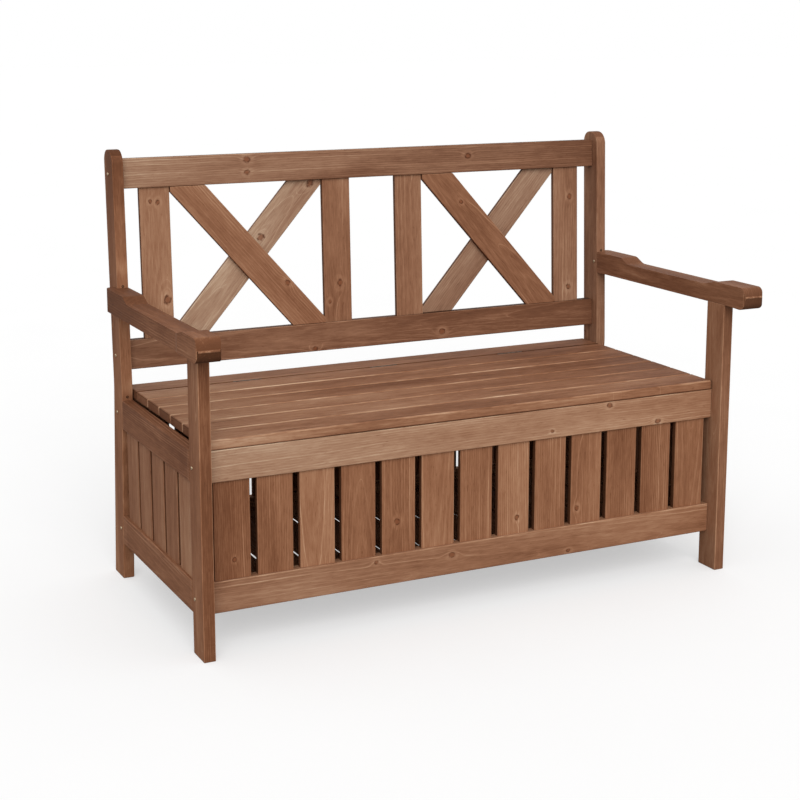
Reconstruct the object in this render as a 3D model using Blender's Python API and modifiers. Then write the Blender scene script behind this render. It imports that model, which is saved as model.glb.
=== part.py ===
"""Garden storage bench: a stained pine bench whose slatted seat lifts as the lid of a slatted box.

Metres, +Z up, +Y to the back, +X to the right of someone who looks at the front. The origin is the
middle of the footprint on the ground.
"""
import math

import bmesh
import bpy
from mathutils import Matrix, Vector

# Timber sections
BOARD_THICKNESS = 0.022
RAIL_WIDTH = 0.0575
SLAT_THICKNESS = 0.011
FIT_GAP = 0.0003
EDGE_EASE = 0.0016
TENON_LENGTH = 0.008

# Frame ends: front legs, raked rear posts and armrests
INNER_WIDTH = 1.0616
LEG_DEPTH = 0.0544
POST_HEIGHT = 0.85
POST_DEPTH = 0.0535
POST_FOOT_DEPTH = 0.0575
POST_SETBACK = 0.4495
FOOT_REACH = 0.5356
KNEE_HEIGHT = 0.39
KNEE_ROUND = 0.15
BACK_RAKE = math.radians(2.2)
POST_TOP_FRONT_ROUND = 0.026
POST_TOP_REAR_ROUND = 0.021

# Armrests
ARM_HEIGHT = 0.545
ARM_REACH = 0.0644
ARM_WIDTH = 0.0406
ARM_PADDLE_FLARE = 0.0036
ARM_PADDLE_LENGTH = 0.112
ARM_FLARE_LENGTH = 0.119
ARM_FLARE_RUN = 0.017
ARM_THICKNESS = 0.0315
ARM_PADDLE_THICKNESS = 0.0375
ARM_PADDLE_RISE_RUN = 0.034
ARM_SHOULDER_THICKNESS = 0.0435
ARM_SHOULDER_LENGTH = 0.114
ARM_SHOULDER_RUN = 0.018
ARM_TONGUE = 0.0205
ARM_TONGUE_ROUND = 0.013
ARM_NOSE_UPPER_RUN = 0.0145
ARM_NOSE_LOWER_RUN = 0.0125
ARM_NOSE_RIDGE = 0.0225
ARM_NOSE_UPPER_ROUND = 0.02
ARM_NOSE_LOWER_ROUND = 0.05
ARM_NOSE_CORNER = 0.007
ARM_CURVE_ROUND = 0.016

# Box: rails, slats and floor
BOTTOM_RAIL_HEIGHT = 0.075
TOP_RAIL_HEIGHT = 0.3115
FRONT_RAIL_SETBACK = 0.029
REAR_RAIL_INSET = 0.0225
BOX_SLAT_WIDTH = 0.0675
FRONT_SLATS = 13
SIDE_SLATS = 5
FLOOR_HEIGHT = 0.111
FLOOR_BOARD_THICKNESS = 0.008
FLOOR_BOARDS = 14
FLOOR_GAP = 0.0106
FLOOR_HOUSING = 0.001
CLEAT_SIZE = 0.02

# Back rest
BACK_RAIL_SETBACK = 0.018
BACK_RAIL_RISE = 0.0367
BACK_RAIL_DROP = 0.0175
BACK_SLAT_WIDTH = 0.0606
BACK_END_GAP = 0.0357
BACK_MIDDLE_SLAT_OFFSET = 0.082
DIAGONAL_INSET = 0.0316
DIAGONAL_THICKNESS = 0.0105

# Seat and lid
SEAT_OVERHANG = 0.001
SEAT_SLAT_WIDTH = 0.0655
SEAT_SLAT_GAP = 0.0025
SEAT_SLAT_THICKNESS = 0.0185
SEAT_END_CLEARANCE = 0.0028
SEAT_EDGE_ROUND = 0.0025
LID_SLATS = 6
BATTEN_WIDTH = 0.045
BATTEN_THICKNESS = 0.018
BATTEN_SPACING = 0.4
BATTEN_FRONT_CLEARANCE = 0.004
BATTEN_REAR_CLEARANCE = 0.006

# Butt hinges let into the edges of the seat slats
HINGE_GAP = 0.003
HINGE_SPACING = 0.3
HINGE_LENGTH = 0.06
HINGE_DEPTH = 0.0022
HINGE_KNUCKLES = 5
KNUCKLE_RADIUS = 0.0028
KNUCKLE_END_PLAY = 0.0003
PIN_RADIUS = 0.0014
PIN_PLAY = 0.0003
LEAF_THICKNESS = 0.0012
LEAF_HEIGHT = 0.013
LEAF_RECESS = 0.0005
KNUCKLE_RELIEF = 0.0005

# Bolts through the legs and posts, each fast in the end of the piece that it holds
BOLT_RADIUS = 0.003
BOLT_HEAD_RADIUS = 0.005
BOLT_HEAD_HEIGHT = 0.0018
BOLT_BITE = 0.01

# How finely curves are drawn, and which corners are eased
ROUND_SIDES = 14
ARC_STEPS = 6
CHIN_STEPS = 3
SEAT_EDGE_STEPS = 2
WELD_DISTANCE = 0.00001
EASED_SHARE = 0.5
STRAIGHT_ANGLE = math.radians(0.5)
BOARD_CORNER_ANGLE = math.radians(40)
ARM_CORNER_ANGLE = math.radians(50)

INNER_X = INNER_WIDTH / 2
OUTER_X = INNER_X + BOARD_THICKNESS
END_X = INNER_X + BOARD_THICKNESS / 2
LEG_FRONT = (ARM_REACH - FOOT_REACH) / 2
LEG_BACK = LEG_FRONT + LEG_DEPTH
FRONT_RAIL_Y = LEG_FRONT + FRONT_RAIL_SETBACK + BOARD_THICKNESS / 2
REAR_RAIL_Y = LEG_FRONT + POST_SETBACK + REAR_RAIL_INSET + BOARD_THICKNESS / 2
BOX_TOP = TOP_RAIL_HEIGHT + RAIL_WIDTH
RAIL_LENGTH = INNER_WIDTH - 2 * FIT_GAP
SEAT_FRONT = LEG_FRONT + FRONT_RAIL_SETBACK - SEAT_OVERHANG
SEAT_UNDERSIDE = BOX_TOP + FIT_GAP
SEAT_TOP = SEAT_UNDERSIDE + SEAT_SLAT_THICKNESS
BACK_BOTTOM_RAIL_HEIGHT = SEAT_TOP + BACK_RAIL_RISE
BACK_TOP_RAIL_HEIGHT = POST_HEIGHT - BACK_RAIL_DROP - RAIL_WIDTH * math.cos(BACK_RAKE)
BACK_END_SLAT_OFFSET = INNER_X - BACK_END_GAP - BACK_SLAT_WIDTH / 2
SEAT_PITCH = SEAT_SLAT_WIDTH + SEAT_SLAT_GAP
SEAT_LENGTH = INNER_WIDTH - 2 * SEAT_END_CLEARANCE
LID_REAR = SEAT_FRONT + LID_SLATS * SEAT_PITCH - SEAT_SLAT_GAP
HINGE_Y = LID_REAR + HINGE_GAP / 2
HINGE_Z = SEAT_TOP - HINGE_DEPTH
KNUCKLE_LENGTH = HINGE_LENGTH / HINGE_KNUCKLES
LEAF_INNER = HINGE_GAP / 2 + LEAF_RECESS - FIT_GAP - LEAF_THICKNESS
LEAF_MIDDLE = LEAF_INNER + LEAF_THICKNESS / 2
SIDES = {"left": -1, "right": 1}
SIDE_VIEW = (math.radians(90), 0, math.radians(90))
FRONT_VIEW = (math.radians(90), 0, 0)
PLAN_VIEW = (0, 0, 0)

# Colours, as linear values
PINE = (0.262, 0.121, 0.066)
PINE_SEAT = (0.285, 0.137, 0.079)
PINE_SLAT = (0.238, 0.109, 0.058)
PINE_BACK = (0.275, 0.136, 0.078)
PINE_INSIDE = (0.205, 0.095, 0.052)
STEEL = (0.42, 0.4, 0.37)
PINE_ROUGHNESS = 0.62
STEEL_ROUGHNESS = 0.35
STEEL_METALLIC = 1.0
TONE_STEPS = (0.0, 0.05, -0.04, 0.02, -0.06, 0.04, -0.02)


def clear_scene():
    """Empties the scene of whatever it starts with."""
    for old in list(bpy.data.objects):
        bpy.data.objects.remove(old, do_unlink=True)


def new_collection(name):
    """A collection linked to the scene."""
    collection = bpy.data.collections.new(name)
    bpy.context.scene.collection.children.link(collection)
    return collection


def make_material(name, colour, roughness, metallic):
    """A material of one colour on the Principled shader."""
    material = bpy.data.materials.new(name)
    material.use_nodes = True
    shader = material.node_tree.nodes["Principled BSDF"]
    shader.inputs["Base Color"].default_value = (*colour, 1.0)
    shader.inputs["Roughness"].default_value = roughness
    shader.inputs["Metallic"].default_value = metallic
    material.diffuse_color = (*colour, 1.0)
    return material


def stained(name, colour):
    """Stained pine for one piece, a shade lighter or darker than its neighbours."""
    shade = 1 + TONE_STEPS[len(bpy.data.materials) % len(TONE_STEPS)]
    return make_material(name, tuple(channel * shade for channel in colour), PINE_ROUGHNESS, 0)


def place(name, mesh, collection, parent=None, material=None):
    """Puts a mesh in the scene as one named piece."""
    piece = bpy.data.objects.new(name, mesh)
    collection.objects.link(piece)
    piece.parent = parent
    if material:
        mesh.materials.append(material)
    return piece


def mesh_from(bm, name):
    """Turns a finished bmesh into mesh data."""
    bmesh.ops.recalc_face_normals(bm, faces=bm.faces)
    mesh = bpy.data.meshes.new(name)
    bm.to_mesh(mesh)
    bm.free()
    return mesh


def add_block(bm, size, centre, grain=None):
    """Adds a squared block; with a grain axis, X, Y or Z, its edges along the grain are to be eased."""
    where = Matrix.Translation(centre) @ Matrix.Diagonal((*size, 1.0))
    corners = bmesh.ops.create_cube(bm, size=1.0, matrix=where)["verts"]
    if grain is None:
        return
    weight = bm.edges.layers.float.get("bevel_weight_edge")
    if weight is None:
        weight = bm.edges.layers.float.new("bevel_weight_edge")
    along = Vector([axis == grain for axis in "XYZ"])
    for edge in {edge for corner in corners for edge in corner.link_edges}:
        run = edge.verts[1].co - edge.verts[0].co
        edge[weight] = float(abs(run.normalized().dot(along)) > EASED_SHARE)


def add_rod(bm, start, radius, length):
    """Adds a closed cylinder that starts at a point and runs along X."""
    middle = Vector(start) + Vector((length / 2, 0, 0))
    where = Matrix.Translation(middle) @ Matrix.Rotation(math.radians(90), 4, "Y")
    bmesh.ops.create_cone(bm, cap_ends=True, segments=ROUND_SIDES, radius1=radius, radius2=radius,
                          depth=length, matrix=where)


def board(name, size, centre, grain, colour, parts, parent=None, ease=EDGE_EASE, segments=1):
    """One sawn board with eased long edges."""
    bm = bmesh.new()
    add_block(bm, size, centre, grain)
    piece = place(name, mesh_from(bm, name), parts, parent, stained(name, colour))
    ease_long_edges(piece, ease, segments)
    return piece


def ease_long_edges(piece, ease=EDGE_EASE, segments=1):
    """Eases the edges that run with the grain."""
    bevel = piece.modifiers.new("Eased edges", "BEVEL")
    bevel.limit_method = "WEIGHT"
    bevel.width = ease
    bevel.segments = segments


def fasten_boards(piece, blocks, grain, label, cutters):
    """Fastens a row of like boards to the piece that carries them, so that they come as one."""
    bm = bmesh.new()
    for size, centre in blocks:
        add_block(bm, size, centre, grain)
    ease_long_edges(cut(piece, bm, label, cutters, "UNION"))


def rounded(corners):
    """The points of an outline given as (u, v, radius) corners, each round one drawn as an arc."""
    points = []
    for index, (u, v, radius) in enumerate(corners):
        corner = Vector((u, v))
        if not radius:
            points.append(corner)
            continue
        before = (Vector(corners[index - 1][:2]) - corner).normalized()
        after = (Vector(corners[(index + 1) % len(corners)][:2]) - corner).normalized()
        half = before.angle(after) / 2
        centre = corner + (before + after).normalized() * radius / math.sin(half)
        first = corner + before * radius / math.tan(half) - centre
        last = corner + after * radius / math.tan(half) - centre
        sweep = first.angle_signed(last)
        points += [centre + Matrix.Rotation(-sweep * step / ARC_STEPS, 2) @ first
                   for step in range(ARC_STEPS + 1)]
    return points


def outline_mesh(name, points, thickness, view):
    """A flat outline given a thickness, as a closed mesh that lies in the chosen view."""
    curve = bpy.data.curves.new(name, "CURVE")
    curve.dimensions = "2D"
    curve.fill_mode = "BOTH"
    curve.extrude = thickness / 2
    spline = curve.splines.new("POLY")
    spline.points.add(len(points) - 1)
    for target, point in zip(spline.points, points):
        target.co = (point[0], point[1], 0, 1)
    spline.use_cyclic_u = True
    drawn = bpy.data.objects.new(name, curve)
    bpy.context.scene.collection.objects.link(drawn)
    drawn.rotation_euler = view
    bpy.context.view_layer.update()
    mesh = bpy.data.meshes.new_from_object(drawn.evaluated_get(bpy.context.evaluated_depsgraph_get()))
    mesh.transform(drawn.matrix_world)
    bpy.data.objects.remove(drawn, do_unlink=True)
    bpy.data.curves.remove(curve)
    bm = bmesh.new()
    bm.from_mesh(mesh)
    bmesh.ops.remove_doubles(bm, verts=bm.verts, dist=WELD_DISTANCE)
    bmesh.ops.dissolve_limit(bm, angle_limit=STRAIGHT_ANGLE, verts=bm.verts, edges=bm.edges)
    bpy.data.meshes.remove(mesh)
    return mesh_from(bm, name)


def shaped_board(name, points, thickness, view, at, colour, parts, parent=None, ease=EDGE_EASE):
    """A board sawn to an outline, with its sharp edges eased."""
    mesh = outline_mesh(name, points, thickness, view)
    piece = place(name, mesh, parts, parent, stained(name, colour))
    piece.location = at
    if ease:
        bevel = piece.modifiers.new("Eased edges", "BEVEL")
        bevel.limit_method = "ANGLE"
        bevel.angle_limit = BOARD_CORNER_ANGLE
        bevel.width = ease
        bevel.segments = 1
    return piece


def cut(piece, bm, label, cutters, operation="DIFFERENCE"):
    """Cuts a piece with the closed solids of a bmesh, which are kept as a wire cutter."""
    name = piece.name + "_" + label
    cutter = place(name, mesh_from(bm, name), cutters, piece.parent)
    cutter.location = piece.location
    cutter.hide_render = True
    cutter.display_type = "WIRE"
    boolean = piece.modifiers.new(label, "BOOLEAN")
    boolean.operation = operation
    boolean.solver = "EXACT"
    boolean.object = cutter
    return cutter


def slat_stations(length, width, count):
    """Middles of a row of slats that share a length with equal gaps between and at the ends."""
    gap = (length - count * width) / (count + 1)
    return [-length / 2 + gap + width / 2 + step * (width + gap) for step in range(count)]


def mortises(stations, width_axis, width, thickness, across, mouth, upward):
    """Cutters for a row of mortises that take the ends of slats."""
    bm = bmesh.new()
    depth = TENON_LENGTH + FIT_GAP
    height = mouth + (depth / 2 - FIT_GAP) * upward
    for station in stations:
        size = [thickness + 2 * FIT_GAP, thickness + 2 * FIT_GAP, depth + 2 * FIT_GAP]
        size["XYZ".index(width_axis)] = width + 2 * FIT_GAP
        centre = [across, across, height]
        centre["XYZ".index(width_axis)] = station
        add_block(bm, size, centre)
    return bm


def arc_between(start, end, radius, steps):
    """The points of an arc of a given radius that bulges to the right of the way from start to end."""
    first, last = Vector(start), Vector(end)
    chord = last - first
    rise = math.sqrt(radius ** 2 - (chord.length / 2) ** 2)
    centre = (first + last) / 2 + Vector((-chord.y, chord.x)).normalized() * rise
    sweep = 2 * math.asin(chord.length / 2 / radius)
    turns = [Matrix.Rotation(sweep * step / steps, 2) for step in range(1, steps)]
    return [(*(centre + turn @ (first - centre)), 0) for turn in turns]


def bolt_solid(seat, direction, y, z):
    """A bolt turned about X, which runs out of a piece at a face, through a board, to its head."""
    head = BOLT_BITE + BOARD_THICKNESS + 2 * FIT_GAP
    profile = [(0, BOLT_RADIUS), (head, BOLT_RADIUS), (head, BOLT_HEAD_RADIUS),
               (head + BOLT_HEAD_HEIGHT, BOLT_HEAD_RADIUS)]
    bm = bmesh.new()
    points = [bm.verts.new((distance, radius, 0)) for distance, radius in profile]
    lines = [bm.edges.new(pair) for pair in zip(points, points[1:])]
    bmesh.ops.spin(bm, geom=points + lines, cent=(0, 0, 0), axis=(1, 0, 0), angle=2 * math.pi,
                   steps=ROUND_SIDES, use_merge=True)
    bmesh.ops.holes_fill(bm, edges=[edge for edge in bm.edges if edge.is_boundary])
    where = Matrix.Translation((seat - direction * BOLT_BITE, y, z)) @ Matrix.Diagonal((direction, 1, 1, 1))
    bmesh.ops.transform(bm, matrix=where, verts=bm.verts)
    return bm


def fasten_rail(rail, y, z, cutters):
    """Gives both ends of a rail the bolts that hold it to the legs or posts."""
    for label, side in SIDES.items():
        cut(rail, bolt_solid(side * (INNER_X - FIT_GAP), side, y, z), "bolt_" + label, cutters, "UNION")


def bore_board(piece, bolts, cutters):
    """Bores a leg or a post, whose board stands at X = 0, for bolts at each (y, z)."""
    bm = bmesh.new()
    for y, z in bolts:
        add_rod(bm, (-BOARD_THICKNESS, y, z), BOLT_RADIUS + FIT_GAP, 2 * BOARD_THICKNESS)
    cut(piece, bm, "bolt_holes", cutters)


def knee_line(z, knee_y, foot_y):
    """Where an edge of the rear posts runs at a height: kicked back below the knee, raked above."""
    if z > KNEE_HEIGHT:
        return knee_y + (z - KNEE_HEIGHT) * math.tan(BACK_RAKE)
    return foot_y + (knee_y - foot_y) * z / KNEE_HEIGHT


def post_front(z):
    """The front edge of the rear posts at a height."""
    return knee_line(z, LEG_FRONT + POST_SETBACK, LEG_FRONT + FOOT_REACH - POST_FOOT_DEPTH)


def post_back(z):
    """The rear edge of the rear posts at a height."""
    return knee_line(z, LEG_FRONT + POST_SETBACK + POST_DEPTH, LEG_FRONT + FOOT_REACH)


def post_outline(grow=0.0):
    """The rear post seen from the side, optionally grown towards the front by a clearance."""
    return rounded([
        (post_front(0) - grow, 0, 0),
        (post_back(0), 0, 0),
        (post_back(KNEE_HEIGHT), KNEE_HEIGHT, KNEE_ROUND),
        (post_back(POST_HEIGHT), POST_HEIGHT, POST_TOP_REAR_ROUND),
        (post_front(POST_HEIGHT) - grow, POST_HEIGHT, POST_TOP_FRONT_ROUND),
        (post_front(KNEE_HEIGHT) - grow, KNEE_HEIGHT, KNEE_ROUND),
    ])


def back_plane(z):
    """The middle plane of the back rest at a height."""
    return post_front(z) + BACK_RAIL_SETBACK + BOARD_THICKNESS / 2


def back_local(z):
    """A height above the ground as a distance up the raked back rest from its foot at the knee."""
    return (z - KNEE_HEIGHT) / math.cos(BACK_RAKE)


def rail_bolts():
    """The (y, z) of the bolts into the front rails, and of those into the rear and back rails."""
    half = RAIL_WIDTH / 2
    heights = [BOTTOM_RAIL_HEIGHT + half, TOP_RAIL_HEIGHT + half]
    front = [(FRONT_RAIL_Y, z) for z in heights]
    rear = [(REAR_RAIL_Y, z) for z in heights]
    for height in (BACK_BOTTOM_RAIL_HEIGHT, BACK_TOP_RAIL_HEIGHT):
        up = back_local(height) + half
        along = up * math.sin(BACK_RAKE)
        rear.append((back_plane(KNEE_HEIGHT) + along, KNEE_HEIGHT + up * math.cos(BACK_RAKE)))
    return front, rear


def arm_bolt():
    """The (y, z) of the bolt through the post into the tongue of the armrest."""
    height = ARM_HEIGHT + ARM_SHOULDER_THICKNESS / 2
    return post_front(height) + ARM_TONGUE / 2, height


def make_rear_post(side, label, parts, cutters):
    """A rear post: kicked foot, knee at the seat, raked upper part and a rounded top."""
    piece = shaped_board("rear_post_" + label, post_outline(), BOARD_THICKNESS, SIDE_VIEW,
                         (side * END_X, 0, 0), PINE, parts)
    bore_board(piece, rail_bolts()[1] + [arm_bolt()], cutters)


def make_front_leg(side, label, parts, cutters):
    """A front leg, from the ground to the underside of its armrest."""
    height = ARM_HEIGHT - FIT_GAP
    size = (BOARD_THICKNESS, LEG_DEPTH, height)
    centre = (0, LEG_FRONT + LEG_DEPTH / 2, height / 2)
    piece = board("front_leg_" + label, size, centre, "Z", PINE, parts)
    piece.location = (side * END_X, 0, 0)
    bore_board(piece, rail_bolts()[0], cutters)


def arm_profile():
    """The armrest seen from the side: shoulder at the post, thin run, raised paddle, ridged nose."""
    nose = LEG_FRONT - ARM_REACH
    paddle = nose + ARM_PADDLE_LENGTH
    tongue_end = post_front(ARM_HEIGHT) + ARM_TONGUE
    shoulder = post_front(ARM_HEIGHT) - ARM_SHOULDER_LENGTH + ARM_SHOULDER_RUN
    paddle_top = ARM_HEIGHT + ARM_PADDLE_THICKNESS
    run_top = ARM_HEIGHT + ARM_THICKNESS
    shoulder_top = ARM_HEIGHT + ARM_SHOULDER_THICKNESS
    crown = (nose + ARM_NOSE_UPPER_RUN, paddle_top)
    ridge = (nose, ARM_HEIGHT + ARM_NOSE_RIDGE)
    chin = (nose + ARM_NOSE_LOWER_RUN, ARM_HEIGHT)
    return rounded([
        (tongue_end, ARM_HEIGHT, 0),
        (tongue_end, shoulder_top, 0),
        (shoulder, shoulder_top, ARM_CURVE_ROUND),
        (shoulder - ARM_SHOULDER_RUN, run_top, ARM_CURVE_ROUND),
        (paddle, run_top, ARM_CURVE_ROUND),
        (paddle - ARM_PADDLE_RISE_RUN, paddle_top, ARM_CURVE_ROUND),
        (*crown, 0),
        *arc_between(crown, ridge, ARM_NOSE_UPPER_ROUND, ARC_STEPS),
        (*ridge, 0),
        *arc_between(ridge, chin, ARM_NOSE_LOWER_ROUND, CHIN_STEPS),
        (*chin, 0),
    ])


def arm_plan(side):
    """The armrest seen from above: straight inside, flared paddle outside, rounded corners."""
    nose = LEG_FRONT - ARM_REACH
    flare = nose + ARM_FLARE_LENGTH
    tongue_end = post_front(ARM_HEIGHT) + ARM_TONGUE
    outer = INNER_X + ARM_WIDTH
    paddle = outer + ARM_PADDLE_FLARE
    corners = [
        (INNER_X, nose, ARM_NOSE_CORNER),
        (paddle, nose, ARM_NOSE_CORNER),
        (paddle, flare - ARM_FLARE_RUN, ARM_FLARE_RUN),
        (outer, flare, ARM_FLARE_RUN),
        (outer, tongue_end, ARM_TONGUE_ROUND),
        (INNER_X, tongue_end, 0),
    ]
    return rounded([(side * (x - END_X), y, radius) for x, y, radius in corners])


def make_armrest(side, label, parts, cutters):
    """An armrest on the front leg, notched round the raked post so that a tongue runs past it."""
    width = 2 * (ARM_WIDTH + ARM_PADDLE_FLARE)
    piece = shaped_board("armrest_" + label, arm_profile(), width, SIDE_VIEW, (side * END_X, 0, 0),
                         PINE, parts, ease=0)
    plan = bmesh.new()
    plan.from_mesh(outline_mesh("plan", arm_plan(side), 2 * POST_HEIGHT, PLAN_VIEW))
    cut(piece, plan, "plan", cutters, "INTERSECT")
    notch = bmesh.new()
    notch.from_mesh(outline_mesh("notch", post_outline(FIT_GAP), 2 * BOARD_THICKNESS, SIDE_VIEW))
    shift = BOARD_THICKNESS / 2 - FIT_GAP
    bmesh.ops.translate(notch, verts=notch.verts, vec=(-side * shift, 0, 0))
    cut(piece, notch, "post_notch", cutters)
    bevel = piece.modifiers.new("Eased edges", "BEVEL")
    bevel.limit_method = "ANGLE"
    bevel.angle_limit = ARM_CORNER_ANGLE
    bevel.width = EDGE_EASE
    bevel.segments = 1
    cheek = side * (BOARD_THICKNESS / 2 + FIT_GAP)
    cut(piece, bolt_solid(cheek, -side, *arm_bolt()), "bolt", cutters, "UNION")


def make_ends(parts, cutters):
    """Both ends of the frame."""
    for label, side in SIDES.items():
        make_rear_post(side, label, parts, cutters)
        make_front_leg(side, label, parts, cutters)
        make_armrest(side, label, parts, cutters)


def make_rail(name, bottom, y, stations, mouth, upward, colour, parts, cutters):
    """A rail of the box, bolted between the ends and mortised for upright slats."""
    centre = (0, y, bottom + RAIL_WIDTH / 2)
    rail = board(name, (RAIL_LENGTH, BOARD_THICKNESS, RAIL_WIDTH), centre, "X", colour, parts)
    fasten_rail(rail, y, centre[2], cutters)
    if stations:
        cut(rail, mortises(stations, "X", BOX_SLAT_WIDTH, SLAT_THICKNESS, y, mouth, upward), "mortises",
            cutters)
    return rail


def box_slat_span():
    """Middle height and length of the upright slats of the box, with their tenons."""
    low = BOTTOM_RAIL_HEIGHT + RAIL_WIDTH
    return (low + TOP_RAIL_HEIGHT) / 2, TOP_RAIL_HEIGHT - low + 2 * TENON_LENGTH


def make_box_front(parts, cutters):
    """The front of the box: apron and bottom rail, with upright slats tenoned into both."""
    stations = slat_stations(INNER_WIDTH, BOX_SLAT_WIDTH, FRONT_SLATS)
    make_rail("front_apron", TOP_RAIL_HEIGHT, FRONT_RAIL_Y, stations, TOP_RAIL_HEIGHT, 1, PINE, parts,
              cutters)
    make_rail("front_bottom_rail", BOTTOM_RAIL_HEIGHT, FRONT_RAIL_Y, stations,
              BOTTOM_RAIL_HEIGHT + RAIL_WIDTH, -1, PINE, parts, cutters)
    middle, height = box_slat_span()
    for number, x in enumerate(stations, 1):
        size = (BOX_SLAT_WIDTH, SLAT_THICKNESS, height)
        board("front_slat_%02d" % number, size, (x, FRONT_RAIL_Y, middle), "Z", PINE_SLAT, parts)


def make_box_rear(parts, cutters):
    """The rear of the box: a top rail on the tenons of slats that stand fast in the bottom rail."""
    stations = slat_stations(INNER_WIDTH, BOX_SLAT_WIDTH, FRONT_SLATS)
    make_rail("rear_top_rail", TOP_RAIL_HEIGHT, REAR_RAIL_Y, stations, TOP_RAIL_HEIGHT, 1, PINE_INSIDE, parts,
              cutters)
    panel = make_rail("rear_slatted_panel", BOTTOM_RAIL_HEIGHT, REAR_RAIL_Y, None, 0, 0, PINE_INSIDE, parts,
                      cutters)
    middle, height = box_slat_span()
    size = (BOX_SLAT_WIDTH, SLAT_THICKNESS, height)
    fasten_boards(panel, [(size, (x, REAR_RAIL_Y, middle)) for x in stations], "Z", "slats", cutters)


def side_rail_outline(bottom):
    """A side rail seen from the side, its rear end cut to the slope of the post."""
    top = bottom + RAIL_WIDTH
    return [
        Vector((LEG_BACK + FIT_GAP, bottom)),
        Vector((post_front(bottom) - FIT_GAP, bottom)),
        Vector((post_front(top) - FIT_GAP, top)),
        Vector((LEG_BACK + FIT_GAP, top)),
    ]


def side_slat_stations():
    """Middles of the slats in an end of the box, with equal gaps from the leg to the post."""
    rear = post_front(TOP_RAIL_HEIGHT + RAIL_WIDTH / 2)
    middle = (LEG_BACK + rear) / 2
    return [middle + y for y in slat_stations(rear - LEG_BACK, BOX_SLAT_WIDTH, SIDE_SLATS)]


def make_box_end(side, label, parts, cutters):
    """An end of the box: a top rail on the tenons of slats that stand fast in the bottom rail."""
    stations = side_slat_stations()
    at = (side * END_X, 0, 0)
    rail = shaped_board("side_top_rail_" + label, side_rail_outline(TOP_RAIL_HEIGHT), BOARD_THICKNESS,
                        SIDE_VIEW, at, PINE, parts)
    cut(rail, mortises(stations, "Y", BOX_SLAT_WIDTH, SLAT_THICKNESS, 0, TOP_RAIL_HEIGHT, 1), "mortises",
        cutters)
    panel = shaped_board("side_slatted_panel_" + label, side_rail_outline(BOTTOM_RAIL_HEIGHT),
                         BOARD_THICKNESS, SIDE_VIEW, at, PINE_SLAT, parts)
    middle, height = box_slat_span()
    size = (SLAT_THICKNESS, BOX_SLAT_WIDTH, height)
    fasten_boards(panel, [(size, (0, y, middle)) for y in stations], "Z", "slats", cutters)


def make_floor(parts, cutters):
    """The floor of the box: boards from front to back, fast on a cleat along each bottom rail."""
    underside = FLOOR_HEIGHT - FLOOR_BOARD_THICKNESS
    front = FRONT_RAIL_Y + BOARD_THICKNESS / 2 + FIT_GAP
    rear = REAR_RAIL_Y - BOARD_THICKNESS / 2 - FIT_GAP
    cleat = (RAIL_LENGTH, CLEAT_SIZE, CLEAT_SIZE)
    middle = underside + FLOOR_HOUSING - CLEAT_SIZE / 2
    panel = board("floor_panel", cleat, (0, front + CLEAT_SIZE / 2, middle), "X", PINE_INSIDE, parts)
    fasten_boards(panel, [(cleat, (0, rear - CLEAT_SIZE / 2, middle))], "X", "rear_cleat", cutters)
    width = (RAIL_LENGTH - (FLOOR_BOARDS - 1) * FLOOR_GAP) / FLOOR_BOARDS
    size = (width, rear - front, FLOOR_BOARD_THICKNESS)
    blocks = []
    for number in range(FLOOR_BOARDS):
        x = -RAIL_LENGTH / 2 + width / 2 + number * (width + FLOOR_GAP)
        blocks.append((size, (x, (front + rear) / 2, FLOOR_HEIGHT - FLOOR_BOARD_THICKNESS / 2)))
    fasten_boards(panel, blocks, "Y", "boards", cutters)


def make_box(parts, cutters):
    """The slatted box under the seat."""
    make_box_front(parts, cutters)
    make_box_rear(parts, cutters)
    for label, side in SIDES.items():
        make_box_end(side, label, parts, cutters)
    make_floor(parts, cutters)


def diagonal_outline(width, height, rising):
    """A diagonal of the crossed panels, clipped to its bay, seen from the front."""
    lean = math.atan2(height, width - 2 * DIAGONAL_INSET)
    half_cut = BACK_SLAT_WIDTH / 2 / math.sin(lean)
    along = DIAGONAL_INSET + half_cut
    down = (half_cut - DIAGONAL_INSET) * math.tan(lean)
    left, right = -width / 2, width / 2
    top, bottom = height / 2, -height / 2
    points = [(left, top), (left + along, top), (right, bottom + down),
              (right, bottom), (right - along, bottom), (left, top - down)]
    return [Vector((-x if rising else x, y)) for x, y in points]


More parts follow.
